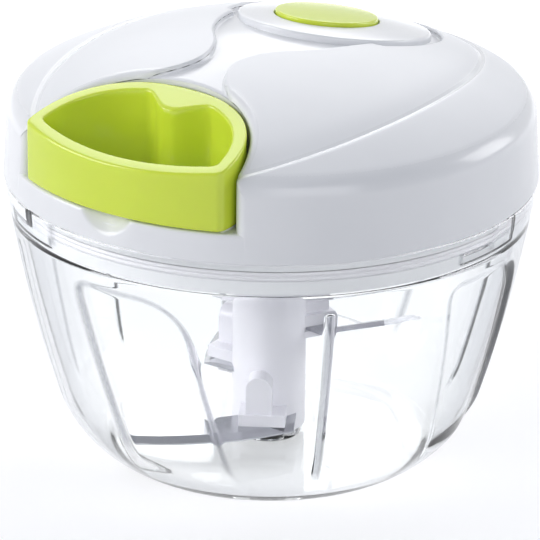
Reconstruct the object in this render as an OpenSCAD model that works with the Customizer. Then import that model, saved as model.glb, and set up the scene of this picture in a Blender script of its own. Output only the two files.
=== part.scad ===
// Pull-string food chopper: clear bowl, three-blade set, wind-up lid and pull handle.
// Units are millimetres, +Z is up, the handle is pulled along -Y and the base rests on z = 0.

/* [Overall] */
// Outside diameter of the lid at the seam
lid_d = 125; // [120:1:130]
// Height of the bowl's rim
rim_z = 68.4; // [67:0.2:72]
// Rise of the dome above the rim
lid_h = 34.3; // [33:0.1:37]

/* [Bowl] */
// Radius of the flat base
base_r = 37; // [36:0.5:38]
// Radius of the curve between base and wall
corner_r = 28; // [27:0.5:29]
// Outward swell of the wall at half height
wall_swell = 1.05; // [0.8:0.05:1.3]
// Wall thickness of the bowl
bowl_t = 2.4; // [2.2:0.1:2.8]
// Height of the bowl's inner floor
floor_z = 2.8; // [2.6:0.1:3.2]
// Depth of the bore in the rim that takes the lid's skirt
band_h = 8.2; // [8:0.1:8.6]
// Thickness of the rim at its top
rim_t = 2.9; // [2.7:0.1:3.1]
// Number of sunk petal panels and of inner ribs
petals = 4; // [3:1:5]
// Depth of a petal panel
petal_depth = 0.9; // [0.5:0.1:1.2]
// Height of the top edge of a petal panel
petal_top_z = 57.7; // [54:0.1:58]
// Width of a petal panel at its top
petal_w = 31; // [26:0.5:34]
// Sideways lean of a petal panel between top and base
petal_lean = 7.2; // [4:0.2:9]
// Radius of the petal's upper corners, right side
petal_corner = 13; // [8:0.5:14]
// Width of an inner rib
rib_w = 1.4; // [1:0.1:2]
// Height of an inner rib above the wall
rib_h = 0.8; // [0.5:0.1:1]

/* [Blade set] */
// Radius of the hub column
hub_r = 8.75; // [8.5:0.05:9]
// Height of the lowest blade
blade_z = 8; // [7.6:0.1:9]
// Height between one blade and the next
blade_step = 10.3; // [10:0.1:11]
// Sheet thickness of a blade
blade_t = 1.2; // [0.8:0.1:1.4]
// Width of a blade
blade_w = 12; // [10:0.5:12.5]
// Radius of the curved cutting edge
blade_edge_r = 68.5; // [66:0.5:70]
// Reach of a blade's root past the hub's middle
blade_root = 7; // [6:0.2:8]
// Reach of a blade's tip at its cutting edge
blade_tip = 27.5; // [26:0.5:28]
// Depth of a blade's blank before the curved cuts
blade_blank = 32; // [30:0.5:34]
// Width of the ground bevel
bevel_w = 2.6; // [1.5:0.1:3]
// Thickness left at the cutting edge
edge_t = 0.35; // [0.2:0.05:0.5]
// Upward bend of the top blade, degrees
top_bend = 24; // [15:1:26]
// Height of a blade boss on the hub
boss_h = 12; // [10:0.2:13]
// Width of a blade boss at its foot
boss_w = 11; // [10:0.2:12]
// Radius of the steel pivot pin
pin_r = 3; // [2.5:0.1:3.5]

/* [Lid] */
// Radius of the spherical dome
dome_r = 130; // [128:1:136]
// Draft of the lid's side wall, as a step in radius
wall_draft = 0.9; // [0.6:0.1:1.2]
// Radius of the rounded shoulder
shoulder_r = 3; // [2:0.25:4]
// Thickness of the dome
dome_t = 3.2; // [3:0.1:3.6]
// Thickness of the side wall
side_t = 2.2; // [2:0.1:2.4]
// Depth of the sunk spine between the wings
spine_d = 1.6; // [1.2:0.1:1.8]
// Half width of the oval boss
oval_a = 22.6; // [21.6:0.2:23.6]
// Half length of the oval boss
oval_b = 23; // [22:0.2:24]
// Distance of the oval boss behind the centre
oval_y = 24.5; // [23.5:0.25:25]
// Half width of the coloured inlay
inlay_a = 11.2; // [10:0.2:12.6]
// Half length of the coloured inlay
inlay_b = 12.6; // [11:0.2:13.4]
// Distance of the inlay behind the centre
inlay_y = 21.3; // [20.5:0.1:22.5]
// Height of the inlay above the oval boss
inlay_h = 0.9; // [0.5:0.1:1.1]
// Thickness of the inlay
inlay_t = 2.4; // [2:0.1:2.6]
// Half width of the wing panels' outer line
wing_a = 38.2; // [37:0.2:40]
// Half length of the wing panels' outer line
wing_b = 75; // [72:1:78]
// Distance of the wing panels' outer line in front of the centre
wing_y = 8; // [6:0.5:10]
// Half width of the spine at its neck
neck_w = 4.2; // [3.6:0.1:5]

/* [Handle] */
// Half width of the handle
handle_a = 25.4; // [24:0.2:26]
// Length of the handle's rounded back
handle_b = 24; // [23:0.2:24.4]
// Wall thickness of the handle ring
handle_t = 3.2; // [2.8:0.1:3.6]
// Height of the handle's underside
handle_z = 75.9; // [75.4:0.1:76.6]
// Height of the handle's top at the front
handle_front_z = 87.9; // [87.2:0.1:88.6]
// Rise of the handle's top towards the back
handle_rise = 7.4; // [6:0.2:8]
// Reach of the cord boss inside the ring
cord_boss = 5.5; // [4.6:0.1:7]

/* [Pull drive] */
// Diameter of the pull cord
cord_d = 1.6; // [1.4:0.1:1.8]
// Radius of the reel's drum
drum_r = 16; // [15:0.25:16.5]
// Radius of the reel's flanges
flange_r = 24; // [23:0.25:24.5]
// Turns of the recoil spring
spring_turns = 5.5; // [4:0.5:6]
// Strip thickness of the recoil spring
spring_t = 0.6; // [0.4:0.1:0.8]
// Radius of the reel spindle
spindle_r = 3; // [2.6:0.1:3.4]
// Teeth in the clutch ring
clutch_teeth = 12; // [10:2:14]

/* [Clearances] */
// Radial running clearance of shafts
run_c = 0.06; // [0.03:0.01:0.1]
// Gap between neighbouring pieces that move apart
part_c = 0.3; // [0.3:0.05:0.5]
// Gap between the handle and its pocket
pocket_c = 0.7; // [0.5:0.1:0.9]

/* [Hidden] */
$fn = 96;

lid_r = lid_d / 2;
top_z = rim_z + lid_h;
rim_r = lid_r - 0.2;
arc_lo = 28;
arc_hi = 73;
arc_cx = base_r - corner_r * sin(arc_lo);
arc_cz = corner_r * cos(arc_lo);
arc_top_z = arc_cz - corner_r * cos(arc_hi);
arc_top_r = arc_cx + corner_r * sin(arc_hi);
bore_r = rim_r - rim_t;
ledge_z = rim_z - band_h;
pivot_z = 5;
pin_top_z = 16;
hub_top_z = rim_z - 10.4;
jaw_top_z = hub_top_z + 4;
pilot_r = 2.5;
pilot_top_z = hub_top_z + 5;
boss_at = 32.5;
edge_cx = -30.8;
edge_cy = 43.2;
bend_x = -9;
tip_slant = 13;
skirt_r = bore_r - part_c;
skirt_t = 2.2;
plate_lo_z = rim_z - 2;
plate_hi_z = rim_z + 0.2;
seal_lo_z = rim_z - 4.6;
seal_h = 2.2;
lug_at = -23;
lugs = 3;
lug_z = ledge_z + 1.9;
lug_h = 1.6;
lug_half = 3.6;
lug_depth = 0.9;
wall_lo_z = rim_z + 0.5;
wall_top_r = lid_r - wall_draft;
dome_cz = top_z - dome_r;
pocket_z = handle_z - 1.8;
handle_y = -55;
handle_front_r = lid_r - 0.2;
back_y = handle_y + handle_b;
pocket_back = back_y + pocket_c;
column_r = 3.6;
column_at = 40;
screw_r = 1.4;
screw_head_r = 2.8;
screw_head_h = 1.8;
screw_len = 12;
jaw_in = 3.6;
shaft_r = 7;
disc_lo_z = plate_hi_z + 0.5;
disc_hi_z = disc_lo_z + 2.1;
drive_room = lid_h - dome_t - 10.3;
ring_hi_z = disc_hi_z + 0.2 * drive_room;
ring_r = 20;
tooth_out = 17.5;
tooth_in = 15.5;
flange_lo_z = ring_hi_z + 0.4;
flange_t = 1.4;
drum_h = 0.5 * drive_room;
drum_lo_z = flange_lo_z + flange_t;
drum_hi_z = drum_lo_z + drum_h;
cup_z = drum_hi_z + flange_t;
cup_h = 0.3 * drive_room;
cup_in = flange_r - 2;
cover_t = 1;
arbor_r = 6;
arbor_lo_z = cup_z + 0.5;
spring_end = cos(360 * spring_turns);
spindle_lo_z = disc_lo_z - 3.9;
spindle_hi_z = top_z - dome_t - 1.8;
pawl_pivot = 10;
pawl_len = 6.7;
pawl_turn = 52;
pawl_lo_z = disc_hi_z + 0.5;
pawl_hi_z = ring_hi_z - 0.2;
pawl_pin_r = 1.25;
tooth_at = 33;
cord_r = cord_d / 2;
wind_r = drum_r + cord_r + 0.2;
wind_pitch = cord_d + 0.46;
wind_lo_z = drum_lo_z + cord_r + 0.35;
wind_steps = 24;
cord_turns = (drum_h - cord_d - 0.7) / wind_pitch;
wind_n = floor(cord_turns * wind_steps);
eyelet_z = wind_lo_z + wind_pitch * wind_n / wind_steps;
eyelet_y = pocket_back + 2.9;
tangent_a = acos(wind_r / -eyelet_y);
knot_y = back_y - handle_t - 2.2;
knot_r = 2.3;

function bowl_r(z) = z < arc_top_z
    ? arc_cx + sqrt(pow(corner_r, 2) - pow(arc_cz - z, 2))
    : let (t = (z - arc_top_z) / (rim_z - arc_top_z))
      arc_top_r + (rim_r - arc_top_r) * t + 4 * wall_swell * t * (1 - t);
function bowl_side(off, z0, z1, n) = [for (i = [0:n]) let (z = z0 + (z1 - z0) * i / n) [bowl_r(z) - off, z]];
function bez(p, q, r, n) = [for (i = [0:n]) let (t = i / n) (1 - t) * (1 - t) * p + 2 * t * (1 - t) * q + t * t * r];
function ellipse(a, b, y, n) = [for (i = [0:n - 1]) [a * cos(360 * i / n), y + b * sin(360 * i / n)]];
function flip(pts) = [for (i = [len(pts) - 1:-1:0]) [-pts[i][0], pts[i][1]]];
function cut_power(v, e) = sign(v) * pow(abs(v), e);
function handle_line(off, front) = concat(
    [[handle_a + off, front]],
    [for (i = [0:24]) let (u = 180 * i / 24)
        [(handle_a + off) * cut_power(cos(u), 2 / 2.6), handle_y + (handle_b + off) * cut_power(sin(u), 2 / 2.6)]],
    [[-handle_a - off, front]]);

// Turned solid under the bowl's outer face, drawn in by off, from z0 up to z1
module bowl_form(off, z0, z1) {
    rotate_extrude()
        polygon(concat([[0, z0]], bowl_side(off, z0, arc_top_z, 7), bowl_side(off, arc_top_z + 5, z1, 6), [[0, z1]]));
}

// Outline of one petal panel as seen from outside
module petal_face() {
    w = petal_w / 2;
    lo = 7;
    k = 0.88;
    linear_extrude(height = 90)
        polygon(concat(
            [[petal_lean + k * w, lo]],
            bez([w + petal_lean * 0.24, petal_top_z - petal_corner * 0.9], [w, petal_top_z], [w - petal_corner, petal_top_z], 6),
            bez([6 - w, petal_top_z], [-w, petal_top_z], [-w + petal_lean * 0.12, petal_top_z - 6], 4),
            [[petal_lean - k * w, lo]]));
}

module petal_cuts() {
    for (i = [0:petals - 1]) {
        rotate([0, 0, 3 + i * 360 / petals])
            rotate([90, 0, 0])
                petal_face();
    }
}

// Block that spans an arc of the rim's wall, from angle a0 to a1 counted from -Y towards +X
module arc_block(r0, r1, z0, z1, a0, a1) {
    translate([0, 0, z0])
        rotate([0, 0, a0 - 90])
            rotate_extrude(angle = a1 - a0)
                translate([r0, 0])
                    square([r1 - r0, z1 - z0]);
}

module bowl() {
    color([0.92, 0.95, 0.97, 0.35]) {
        difference() {
            bowl_form(0, 0, rim_z);
            intersection() {
                bowl_form(bowl_t, floor_z, ledge_z + 0.01);
                translate([0, 0, floor_z]) cylinder(r = lid_r, h = rim_z);
            }
            translate([0, 0, ledge_z]) cylinder(r = bore_r, h = band_h + 1);
            translate([0, 0, -1]) cylinder(r = base_r - 6, h = 2);
            intersection() {
                difference() {
                    bowl_form(-1, 0.5, rim_z);
                    bowl_form(petal_depth, 0.4, rim_z + 1);
                }
                petal_cuts();
            }
            for (i = [0:lugs - 1]) {
                arc_block(bore_r - 1, bore_r + 1.2, lug_z - part_c, lug_z + lug_h + part_c,
                    lug_at + 120 * i - lug_half - 12, lug_at + 120 * i + lug_half + 1);
                arc_block(bore_r - 1, bore_r + 1.3, lug_z + lug_h / 2, rim_z + 1,
                    lug_at + 120 * i - lug_half - 1.2, lug_at + 120 * i + lug_half + 1.2);
            }
            translate([0, 0, 1.6]) cylinder(r = pin_r, h = 9);
        }
        difference() {
            translate([0, 0, floor_z - 0.2]) cylinder(r1 = 7.4, r2 = 6.6, h = pivot_z - floor_z + 0.2);
            translate([0, 0, 1.6]) cylinder(r = pin_r, h = 9);
        }
        for (i = [0:petals - 1]) {
            rotate([0, 0, 50 - 90 - rib_w / 2 + i * 360 / petals])
                rotate_extrude(angle = rib_w * 1.1)
                    polygon(concat(bowl_side(bowl_t - 0.3, 9, ledge_z - 5, 8),
                        [for (i = [8:-1:0]) let (z = 9 + (ledge_z - 14) * i / 8) [bowl_r(z) - bowl_t - rib_h, z]]));
        }
    }
}

module pivot_pin() {
    color([0.75, 0.76, 0.78]) {
        translate([0, 0, 1.6]) cylinder(r = pin_r, h = pin_top_z - 2.6);
        translate([0, 0, pin_top_z - 1]) cylinder(r1 = pin_r, r2 = pin_r - 1, h = 1);
    }
}

// One flat sickle blade at z = 0, with its root at the hub's -Y side
module blade_form() {
    difference() {
        intersection() {
            translate([edge_cx, edge_cy, 0])
                rotate_extrude()
                    polygon([[0, 0], [blade_edge_r, 0], [blade_edge_r, edge_t],
                        [blade_edge_r - bevel_w, blade_t], [0, blade_t]]);
            translate([0, 0, -1])
                linear_extrude(height = blade_t + 2)
                    polygon([[blade_root, -2], [blade_root, -blade_blank], [-blade_tip, -blade_blank],
                        [-blade_tip - tip_slant, -2]]);
        }
        translate([edge_cx, edge_cy, -1]) cylinder(r = blade_edge_r - blade_w, h = blade_t + 2);
        translate([0, 0, -1]) cylinder(r = pin_r + 1.6, h = blade_t + 2);
    }
}

// Everything on one side of the blade's bend, with a small overlap
module half_space(side) {
    lap = 0.35;
    translate([side > 0 ? bend_x - lap : bend_x + lap - 100, -60, -5]) cube([100, 100, 40]);
}

module bent_blade() {
    intersection() {
        blade_form();
        half_space(1);
    }
    translate([bend_x, 0, blade_t / 2])
        rotate([0, top_bend, 0])
            translate([-bend_x, 0, -blade_t / 2])
                intersection() {
                    blade_form();
                    half_space(-1);
                }
}

module blade_place(i) {
    rotate([0, 0, boss_at - 120 * i])
        translate([0, 0, blade_z + blade_step * i])
            children();
}

module lower_blade() {
    color([0.78, 0.79, 0.8]) blade_place(0) blade_form();
}

module middle_blade() {
    color([0.78, 0.79, 0.8]) blade_place(1) blade_form();
}

module upper_blade() {
    color([0.78, 0.79, 0.8]) blade_place(2) bent_blade();
}

// Foot and arched tongue that clamp a blade to the column
module blade_boss() {
    translate([-boss_w / 2 - 0.6, 0, blade_t])
        rotate([90, 0, 0])
            linear_extrude(height = hub_r + 5.7)
                square([boss_w, 2.8]);
    translate([-boss_w / 2 - 0.6, -hub_r - 2.6, -1.6])
        cube([boss_w, hub_r + 2.6, 1.6]);
    translate([-1.4, 0, blade_t])
        rotate([90, 0, 0])
            linear_extrude(height = hub_r + 4.8) {
                translate([-3, 0]) square([6, boss_h - 3]);
                translate([0, boss_h - 3]) circle(r = 3);
            }
}

module blade_hub() {
    color([0.95, 0.95, 0.96])
        difference() {
            union() {
                translate([0, 0, pivot_z]) cylinder(r = hub_r, h = hub_top_z - pivot_z);
                for (i = [0:2]) {
                    blade_place(i) blade_boss();
                }
                translate([0, 0, hub_top_z - 1]) cylinder(r = pilot_r, h = pilot_top_z - hub_top_z + 1);
                for (a = [-30, 150]) {
                    arc_block(jaw_in, shaft_r - 0.2, hub_top_z - 1, jaw_top_z, a, a + 60);
                }
            }
            translate([0, 0, pivot_z - 1]) cylinder(r = pin_r + run_c, h = pin_top_z - pivot_z + 1.5);
            blade_place(0) blade_form();
            blade_place(1) blade_form();
            blade_place(2) bent_blade();
        }
}

module seal_ring() {
    color([0.9, 0.91, 0.9])
        translate([0, 0, seal_lo_z])
            difference() {
                cylinder(r = skirt_r, h = seal_h);
                translate([0, 0, -1]) cylinder(r = skirt_r - 1, h = seal_h + 2);
            }
}

module base_plate() {
    color([0.93, 0.93, 0.95])
        difference() {
            union() {
                translate([0, 0, ledge_z + 0.4]) cylinder(r = skirt_r, h = rim_z - ledge_z - 0.3);
                translate([0, 0, rim_z]) cylinder(r = lid_r - side_t - part_c, h = 2.4);
                for (i = [0:lugs - 1]) {
                    arc_block(skirt_r - 1, skirt_r + lug_depth, lug_z, lug_z + lug_h,
                        lug_at + 120 * i - lug_half, lug_at + 120 * i + lug_half);
                }
            }
            difference() {
                translate([0, 0, ledge_z - 1]) cylinder(r = skirt_r - skirt_t, h = plate_lo_z - ledge_z + 1);
                translate([0, 0, rim_z - 5.6]) cylinder(r = shaft_r + 4, h = 10);
            }
            translate([0, 0, plate_hi_z]) cylinder(r = skirt_r - 1, h = 10);
            translate([0, 0, ledge_z - 1]) cylinder(r = shaft_r + run_c, h = 20);
            translate([0, 0, seal_lo_z])
                difference() {
                    cylinder(r = skirt_r + 2, h = seal_h + part_c);
                    translate([0, 0, -1]) cylinder(r = skirt_r - 1 - part_c, h = seal_h + 3);
                }
            for (i = [0:3]) {
                rotate([0, 0, 45 + 90 * i])
                    translate([column_at, 0, plate_lo_z - 5]) cylinder(r = screw_r + part_c, h = 12);
            }
        }
}

// Turned solid under the dome: grown by up on top and by side at the wall
module dome_form(up, side, f, z0) {
    wr = wall_top_r + side;
    xf = wr - f;
    zf = dome_cz + sqrt(pow(dome_r + up - f, 2) - pow(xf, 2));
    xt = xf * (dome_r + up) / (dome_r + up - f);
    rotate_extrude() {
        intersection() {
            translate([0, dome_cz]) circle(r = dome_r + up);
            translate([0, z0]) square([xt, 200]);
        }
        polygon([[0, z0], [lid_r + side, z0], [wr, zf], [0, zf]]);
        intersection() {
            translate([xf, zf]) circle(r = f);
            translate([0, z0]) square([200, 200]);
        }
    }
}

module spine_line() {
    half = concat(
        bez([handle_a * 0.7, pocket_back - 4.2], [neck_w, -28.5], [neck_w, -20.5], 8),
        bez([neck_w, -20], [neck_w + 0.6, -14], [oval_a / 2, -7.5], 6),
        bez([oval_a / 2 + 0.5, -7], [oval_a * 0.74, -1.6], [oval_a * 0.88, oval_y - 13], 6));
    difference() {
        union() {
            polygon(concat(half, flip(half)));
            polygon(ellipse(oval_a + 1.1, oval_b + 1.1, oval_y, 72));
        }
        polygon(ellipse(oval_a, oval_b, oval_y, 72));
    }
}

// Layer of the dome between two heights, kept inside a drawn outline
module dome_layer(lo, hi) {
    intersection() {
        difference() {
            dome_form(hi, hi, shoulder_r, wall_lo_z);
            dome_form(lo, lo, shoulder_r, wall_lo_z - 1);
        }
        translate([0, 0, wall_lo_z])
            linear_extrude(height = 60)
                children();
    }
}

module inside_pocket(grow, lo) {
    translate([0, 0, lo])
        linear_extrude(height = 60)
            polygon(handle_line(grow, -90));
}

module top_cover() {
    color([0.95, 0.95, 0.97]) {
        difference() {
            union() {
                difference() {
                    dome_form(0, 0, shoulder_r, wall_lo_z);
                    dome_form(-dome_t, -side_t, 1, wall_lo_z - 2);
                    dome_layer(-spine_d, 2) spine_line();
                    dome_layer(-0.8, 2)
                        difference() {
                            polygon(ellipse(wing_a + 0.5, wing_b + 0.5, -wing_y, 96));
                            polygon(ellipse(wing_a - 0.5, wing_b - 0.5, -wing_y, 96));
                        }
                }
                intersection() {
                    dome_form(-spine_d - 0.1, -0.3, shoulder_r, wall_lo_z + 1);
                    union() {
                        inside_pocket(pocket_c + 2, pocket_z - 2);
                        translate([0, 0, arbor_lo_z]) cylinder(r = arbor_r, h = 60);
                        for (i = [0:3]) {
                            rotate([0, 0, 45 + 90 * i])
                                translate([column_at, 0, plate_hi_z]) cylinder(r = column_r, h = 60);
                        }
                    }
                }
                for (i = [0:3]) {
                    rotate([0, 0, 45 + 90 * i])
                        translate([column_at, 0, plate_hi_z]) cylinder(r = column_r, h = 8);
                }
            }
            inside_pocket(pocket_c, pocket_z);
            translate([0, -lid_r - 5, handle_z + 3.7]) sphere(r = 10);
            dome_layer(inlay_h - inlay_t, 3) polygon(ellipse(inlay_a + 0.35, inlay_b + 0.35, inlay_y, 72));
            translate([0, 0, arbor_lo_z - 5]) cylinder(r = spindle_r, h = spindle_hi_z - arbor_lo_z + 5);
            translate([0, -spring_t / 2, arbor_lo_z - 1]) cube([10, spring_t, cup_h]);
            translate([0, pocket_back - 1, eyelet_z]) rotate([-90, 0, 0]) cylinder(r = 3, h = 6);
            for (i = [0:3]) {
                rotate([0, 0, 45 + 90 * i])
                    translate([column_at, 0, plate_hi_z - 1]) cylinder(r = screw_r, h = screw_len + 0.6 - plate_hi_z + plate_lo_z + 1);
            }
        }
        for (s = [-1, 1]) {
            translate([s * (handle_a - handle_t / 2) - 1, handle_y - 1.5, pocket_z - 0.5])
                cube([2, 9.5, handle_z - pocket_z + 0.5]);
        }
    }
}

module top_inlay() {
    color([0.72, 0.84, 0.13])
        dome_layer(inlay_h - inlay_t, inlay_h) polygon(ellipse(inlay_a, inlay_b, inlay_y, 72));
}

module lid_screws() {
    color([0.72, 0.73, 0.75])
        for (i = [0:3]) {
            rotate([0, 0, 45 + 90 * i])
                translate([column_at, 0, plate_lo_z])
                    difference() {
                        union() {
                            translate([0, 0, -screw_head_h]) cylinder(r = screw_head_r, h = screw_head_h);
                            cylinder(r = screw_r, h = screw_len);
                        }
                        for (a = [0, 90]) {
                            rotate([0, 0, a]) translate([-0.4, -2, -screw_head_h - 1]) cube([0.8, 4, 1.8]);
                        }
                    }
        }
}

module reel_spindle() {
    color([0.75, 0.76, 0.78])
        difference() {
            translate([0, 0, spindle_lo_z]) cylinder(r = spindle_r, h = spindle_hi_z - spindle_lo_z);
            translate([0, 0, flange_lo_z - 0.8])
                difference() {
                    cylinder(r = spindle_r + 1, h = 0.8);
                    translate([0, 0, -1]) cylinder(r = spindle_r - 0.6, h = 3);
                }
        }
}

module spindle_clip() {
    color([0.6, 0.61, 0.63])
        translate([0, 0, flange_lo_z - 0.8])
            difference() {
                cylinder(r = spindle_r + 2.2, h = 0.8);
                translate([0, 0, -1]) cylinder(r = spindle_r - 0.6, h = 3);
                translate([0, -1.6, -1]) cube([10, 3.2, 3]);
            }
}

// Flat strip wound as a spiral, one tail held in the fixed arbor and one in the reel's cup
module recoil_spring() {
    r0 = arbor_r + 0.9;
    r1 = cup_in - 1.4;
    half = spring_t / 2;
    end = cup_in + 1.2;
    steps = 20;
    spiral = [for (i = [1:spring_turns * steps - 1])
        [r0 + (r1 - r0) * i / (spring_turns * steps), 360 * i / steps]];
    color([0.55, 0.56, 0.58])
        translate([0, 0, arbor_lo_z])
            linear_extrude(height = cup_h - 1.2)
                polygon(concat(
                    [[arbor_r - 1.8, -half], [arbor_r - 1.8, half], [r0, half]],
                    [for (p = spiral) p[0] * [cos(p[1]), sin(p[1])]],
                    [spring_end * [r1, half], spring_end * [end, half]],
                    [spring_end * [end, -half], spring_end * [r1 + spring_t, -half]],
                    [for (i = [len(spiral) - 1:-1:0]) let (p = spiral[i]) (p[0] + spring_t) * [cos(p[1]), sin(p[1])]],
                    [[r0 + spring_t, -half]]));
}

module cord_eyelet() {
    color([0.72, 0.73, 0.75])
        translate([0, pocket_back, eyelet_z])
            rotate([-90, 0, 0])
                difference() {
                    union() {
                        cylinder(r = 3, h = 2);
                        translate([0, 0, 2]) cylinder(r = 4.2, h = 1);
                    }
                    translate([0, 0, -1]) cylinder(r = 1.8, h = 6);
                }
}

module thrust_washer() {
    color([0.85, 0.85, 0.82])
        translate([0, 0, plate_hi_z])
            difference() {
                cylinder(r = 12, h = disc_lo_z - plate_hi_z);
                translate([0, 0, -1]) cylinder(r = shaft_r + part_c, h = 3);
            }
}

module cord_reel() {
    color([0.9, 0.9, 0.88])
        difference() {
            union() {
                translate([0, 0, flange_lo_z]) cylinder(r = flange_r, h = flange_t);
                translate([0, 0, flange_lo_z]) cylinder(r = drum_r, h = cup_z - flange_lo_z);
                translate([0, 0, drum_hi_z]) cylinder(r = flange_r, h = flange_t + cup_h);
            }
            translate([0, 0, cup_z]) cylinder(r = cup_in, h = cup_h + 1);
            rotate([0, 0, spring_end > 0 ? 0 : 180])
                translate([cup_in - 1, -spring_t / 2 - part_c, arbor_lo_z - part_c])
                    cube([2.5, spring_t + 2 * part_c, cup_h]);
            translate([0, 0, flange_lo_z - 1]) cylinder(r = spindle_r + run_c, h = 40);
            for (s = [0, 180]) {
                rotate([0, 0, s])
                    translate([pawl_pivot, 0, flange_lo_z - 1]) cylinder(r = pawl_pin_r, h = 4);
            }
        }
}

module spring_cover() {
    color([0.9, 0.9, 0.88])
        translate([0, 0, cup_z + cup_h])
            difference() {
                cylinder(r = flange_r, h = cover_t);
                translate([0, 0, -1]) cylinder(r = arbor_r + 1.2, h = 4);
            }
}

wind_a0 = 270 - tangent_a - 360 * wind_n / wind_steps;
function wind_at(i) = let (a = wind_a0 + 360 * i / wind_steps)
    [wind_r * cos(a), wind_r * sin(a), wind_lo_z + wind_pitch * i / wind_steps];
wind_axis = [for (i = [0:wind_n]) wind_at(i)];
wind_gap = min([for (i = [0:wind_n]) for (j = [i + 16:1:wind_n]) norm(wind_axis[i] - wind_axis[j])]) - cord_d;
echo(cord_winding_least_self_gap_mm = wind_gap);

// Cord on the drum: one tube along a rising circle, with straight ends
module cord_winding() {
    n = wind_n;
    out = [for (i = [0:n]) let (a = wind_a0 + 360 * i / wind_steps) [cos(a), sin(a), 0]];
    t0 = [out[0][1], -out[0][0], 0] * cord_d;
    t1 = [-out[n][1], out[n][0], 0] * cord_d;
    mid = concat([wind_axis[0] + t0], wind_axis, [wind_axis[n] + t1]);
    rad = concat([out[0]], out, [out[n]]);
    m = len(mid);
    pts = [for (i = [0:m - 1]) for (k = [0:5]) mid[i] + cord_r * (cos(60 * k) * rad[i] + sin(60 * k) * [0, 0, 1])];
    sides = [for (i = [0:m - 2]) for (k = [0:5]) each
        [[6 * i + k, 6 * i + (k + 1) % 6, 6 * i + 6 + (k + 1) % 6], [6 * i + k, 6 * i + 6 + (k + 1) % 6, 6 * i + 6 + k]]];
    color([0.96, 0.96, 0.94])
        polyhedron(pts, concat(sides, [[5, 4, 3, 2, 1, 0]], [[for (k = [0:5]) 6 * (m - 1) + k]]));
}

module pawl_pins() {
    color([0.75, 0.76, 0.78])
        for (s = [0, 180]) {
            rotate([0, 0, s])
                translate([pawl_pivot, 0, pawl_lo_z - 0.2]) cylinder(r = pawl_pin_r, h = drum_lo_z - pawl_lo_z + 0.2);
        }
}

module pawl_form() {
    translate([pawl_pivot, 0, pawl_lo_z])
        rotate([0, 0, pawl_turn])
            linear_extrude(height = pawl_hi_z - pawl_lo_z)
                difference() {
                    union() {
                        circle(r = 2.5);
                        translate([0, -1.2]) square([pawl_len, 2.4]);
                        translate([pawl_len, 0]) circle(r = 1.2);
                    }
                    circle(r = pawl_pin_r + run_c);
                }
}

module pawl_a() {
    color([0.25, 0.26, 0.28]) pawl_form();
}

module pawl_b() {
    color([0.25, 0.26, 0.28]) rotate([0, 0, 180]) pawl_form();
}

module clutch_drive() {
    teeth = [for (i = [0:clutch_teeth - 1]) let (a = tooth_at + 360 * i / clutch_teeth, s = 360 / clutch_teeth) each
        [[tooth_in * cos(a - s + 0.6), tooth_in * sin(a - s + 0.6)],
         [(tooth_in + 0.7) * cos(a - s * 0.66), (tooth_in + 0.7) * sin(a - s * 0.66)],
         [(tooth_in + 1.4) * cos(a - s * 0.33), (tooth_in + 1.4) * sin(a - s * 0.33)],
         [tooth_out * cos(a), tooth_out * sin(a)]]];
    color([0.88, 0.88, 0.9])
        difference() {
            union() {
                translate([0, 0, disc_lo_z]) cylinder(r = ring_r, h = ring_hi_z - disc_lo_z);
                translate([0, 0, jaw_top_z + part_c]) cylinder(r = shaft_r, h = disc_lo_z - jaw_top_z);
                for (a = [60, 240]) {
                    arc_block(jaw_in, shaft_r - 0.2, hub_top_z + 0.4, jaw_top_z + 1, a, a + 60);
                }
            }
            translate([0, 0, disc_hi_z]) linear_extrude(height = 10) polygon(teeth);
            translate([0, 0, spindle_lo_z - 0.5]) cylinder(r = spindle_r + run_c, h = 20);
            translate([0, 0, hub_top_z - 1]) cylinder(r = pilot_r + run_c, h = pilot_top_z - hub_top_z + 1.4);
        }
}

// Ring handle: D-shaped outline, open through the middle, top sloping up to the back
module pull_handle() {
    color([0.74, 0.86, 0.14])
        difference() {
            intersection() {
                translate([0, 0, handle_z]) linear_extrude(height = 40) polygon(handle_line(0, -90));
                cylinder(r = handle_front_r, h = 200);
                translate([-60, -lid_r, handle_front_z])
                    rotate([atan(handle_rise / (handle_b + lid_r + handle_y)), 0, 0])
                        translate([0, -20, -60]) cube([120, 90, 60]);
            }
            difference() {
                intersection() {
                    translate([0, 0, handle_z - 1]) linear_extrude(height = 50) polygon(handle_line(-handle_t, -90));
                    cylinder(r = handle_front_r - handle_t, h = 200);
                }
                translate([0, back_y - handle_t - cord_boss + 6, 0]) cylinder(r = 6, h = 200);
                translate([-6, back_y - handle_t - cord_boss + 6, 0]) cube([12, 20, 200]);
            }
            translate([0, back_y + 1, eyelet_z]) rotate([90, 0, 0]) cylinder(r = cord_r + 0.3, h = 5);
            translate([0, knot_y, handle_z - 1]) cylinder(r = knot_r + 0.3, h = eyelet_z - handle_z + 1 + knot_r + 0.6);
        }
}

module cord_bar(p, q) {
    d = q - p;
    translate(p)
        rotate([0, acos(d[2] / norm(d)), atan2(d[1], d[0])])
            cylinder(r = cord_r, h = norm(d), $fn = 32);
}

module pull_cord() {
    start = wind_axis[wind_n];
    bend = [0, eyelet_y, eyelet_z];
    way = (bend - start) / norm(bend - start);
    color([0.96, 0.96, 0.94]) {
        cord_bar(start + way * (cord_d + part_c), bend);
        translate(bend) sphere(r = cord_r, $fn = 32);
        cord_bar(bend, [0, knot_y + knot_r - 0.3, eyelet_z]);
    }
}

module cord_knot() {
    color([0.96, 0.96, 0.94])
        translate([0, knot_y, eyelet_z]) sphere(r = knot_r);
}

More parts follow.
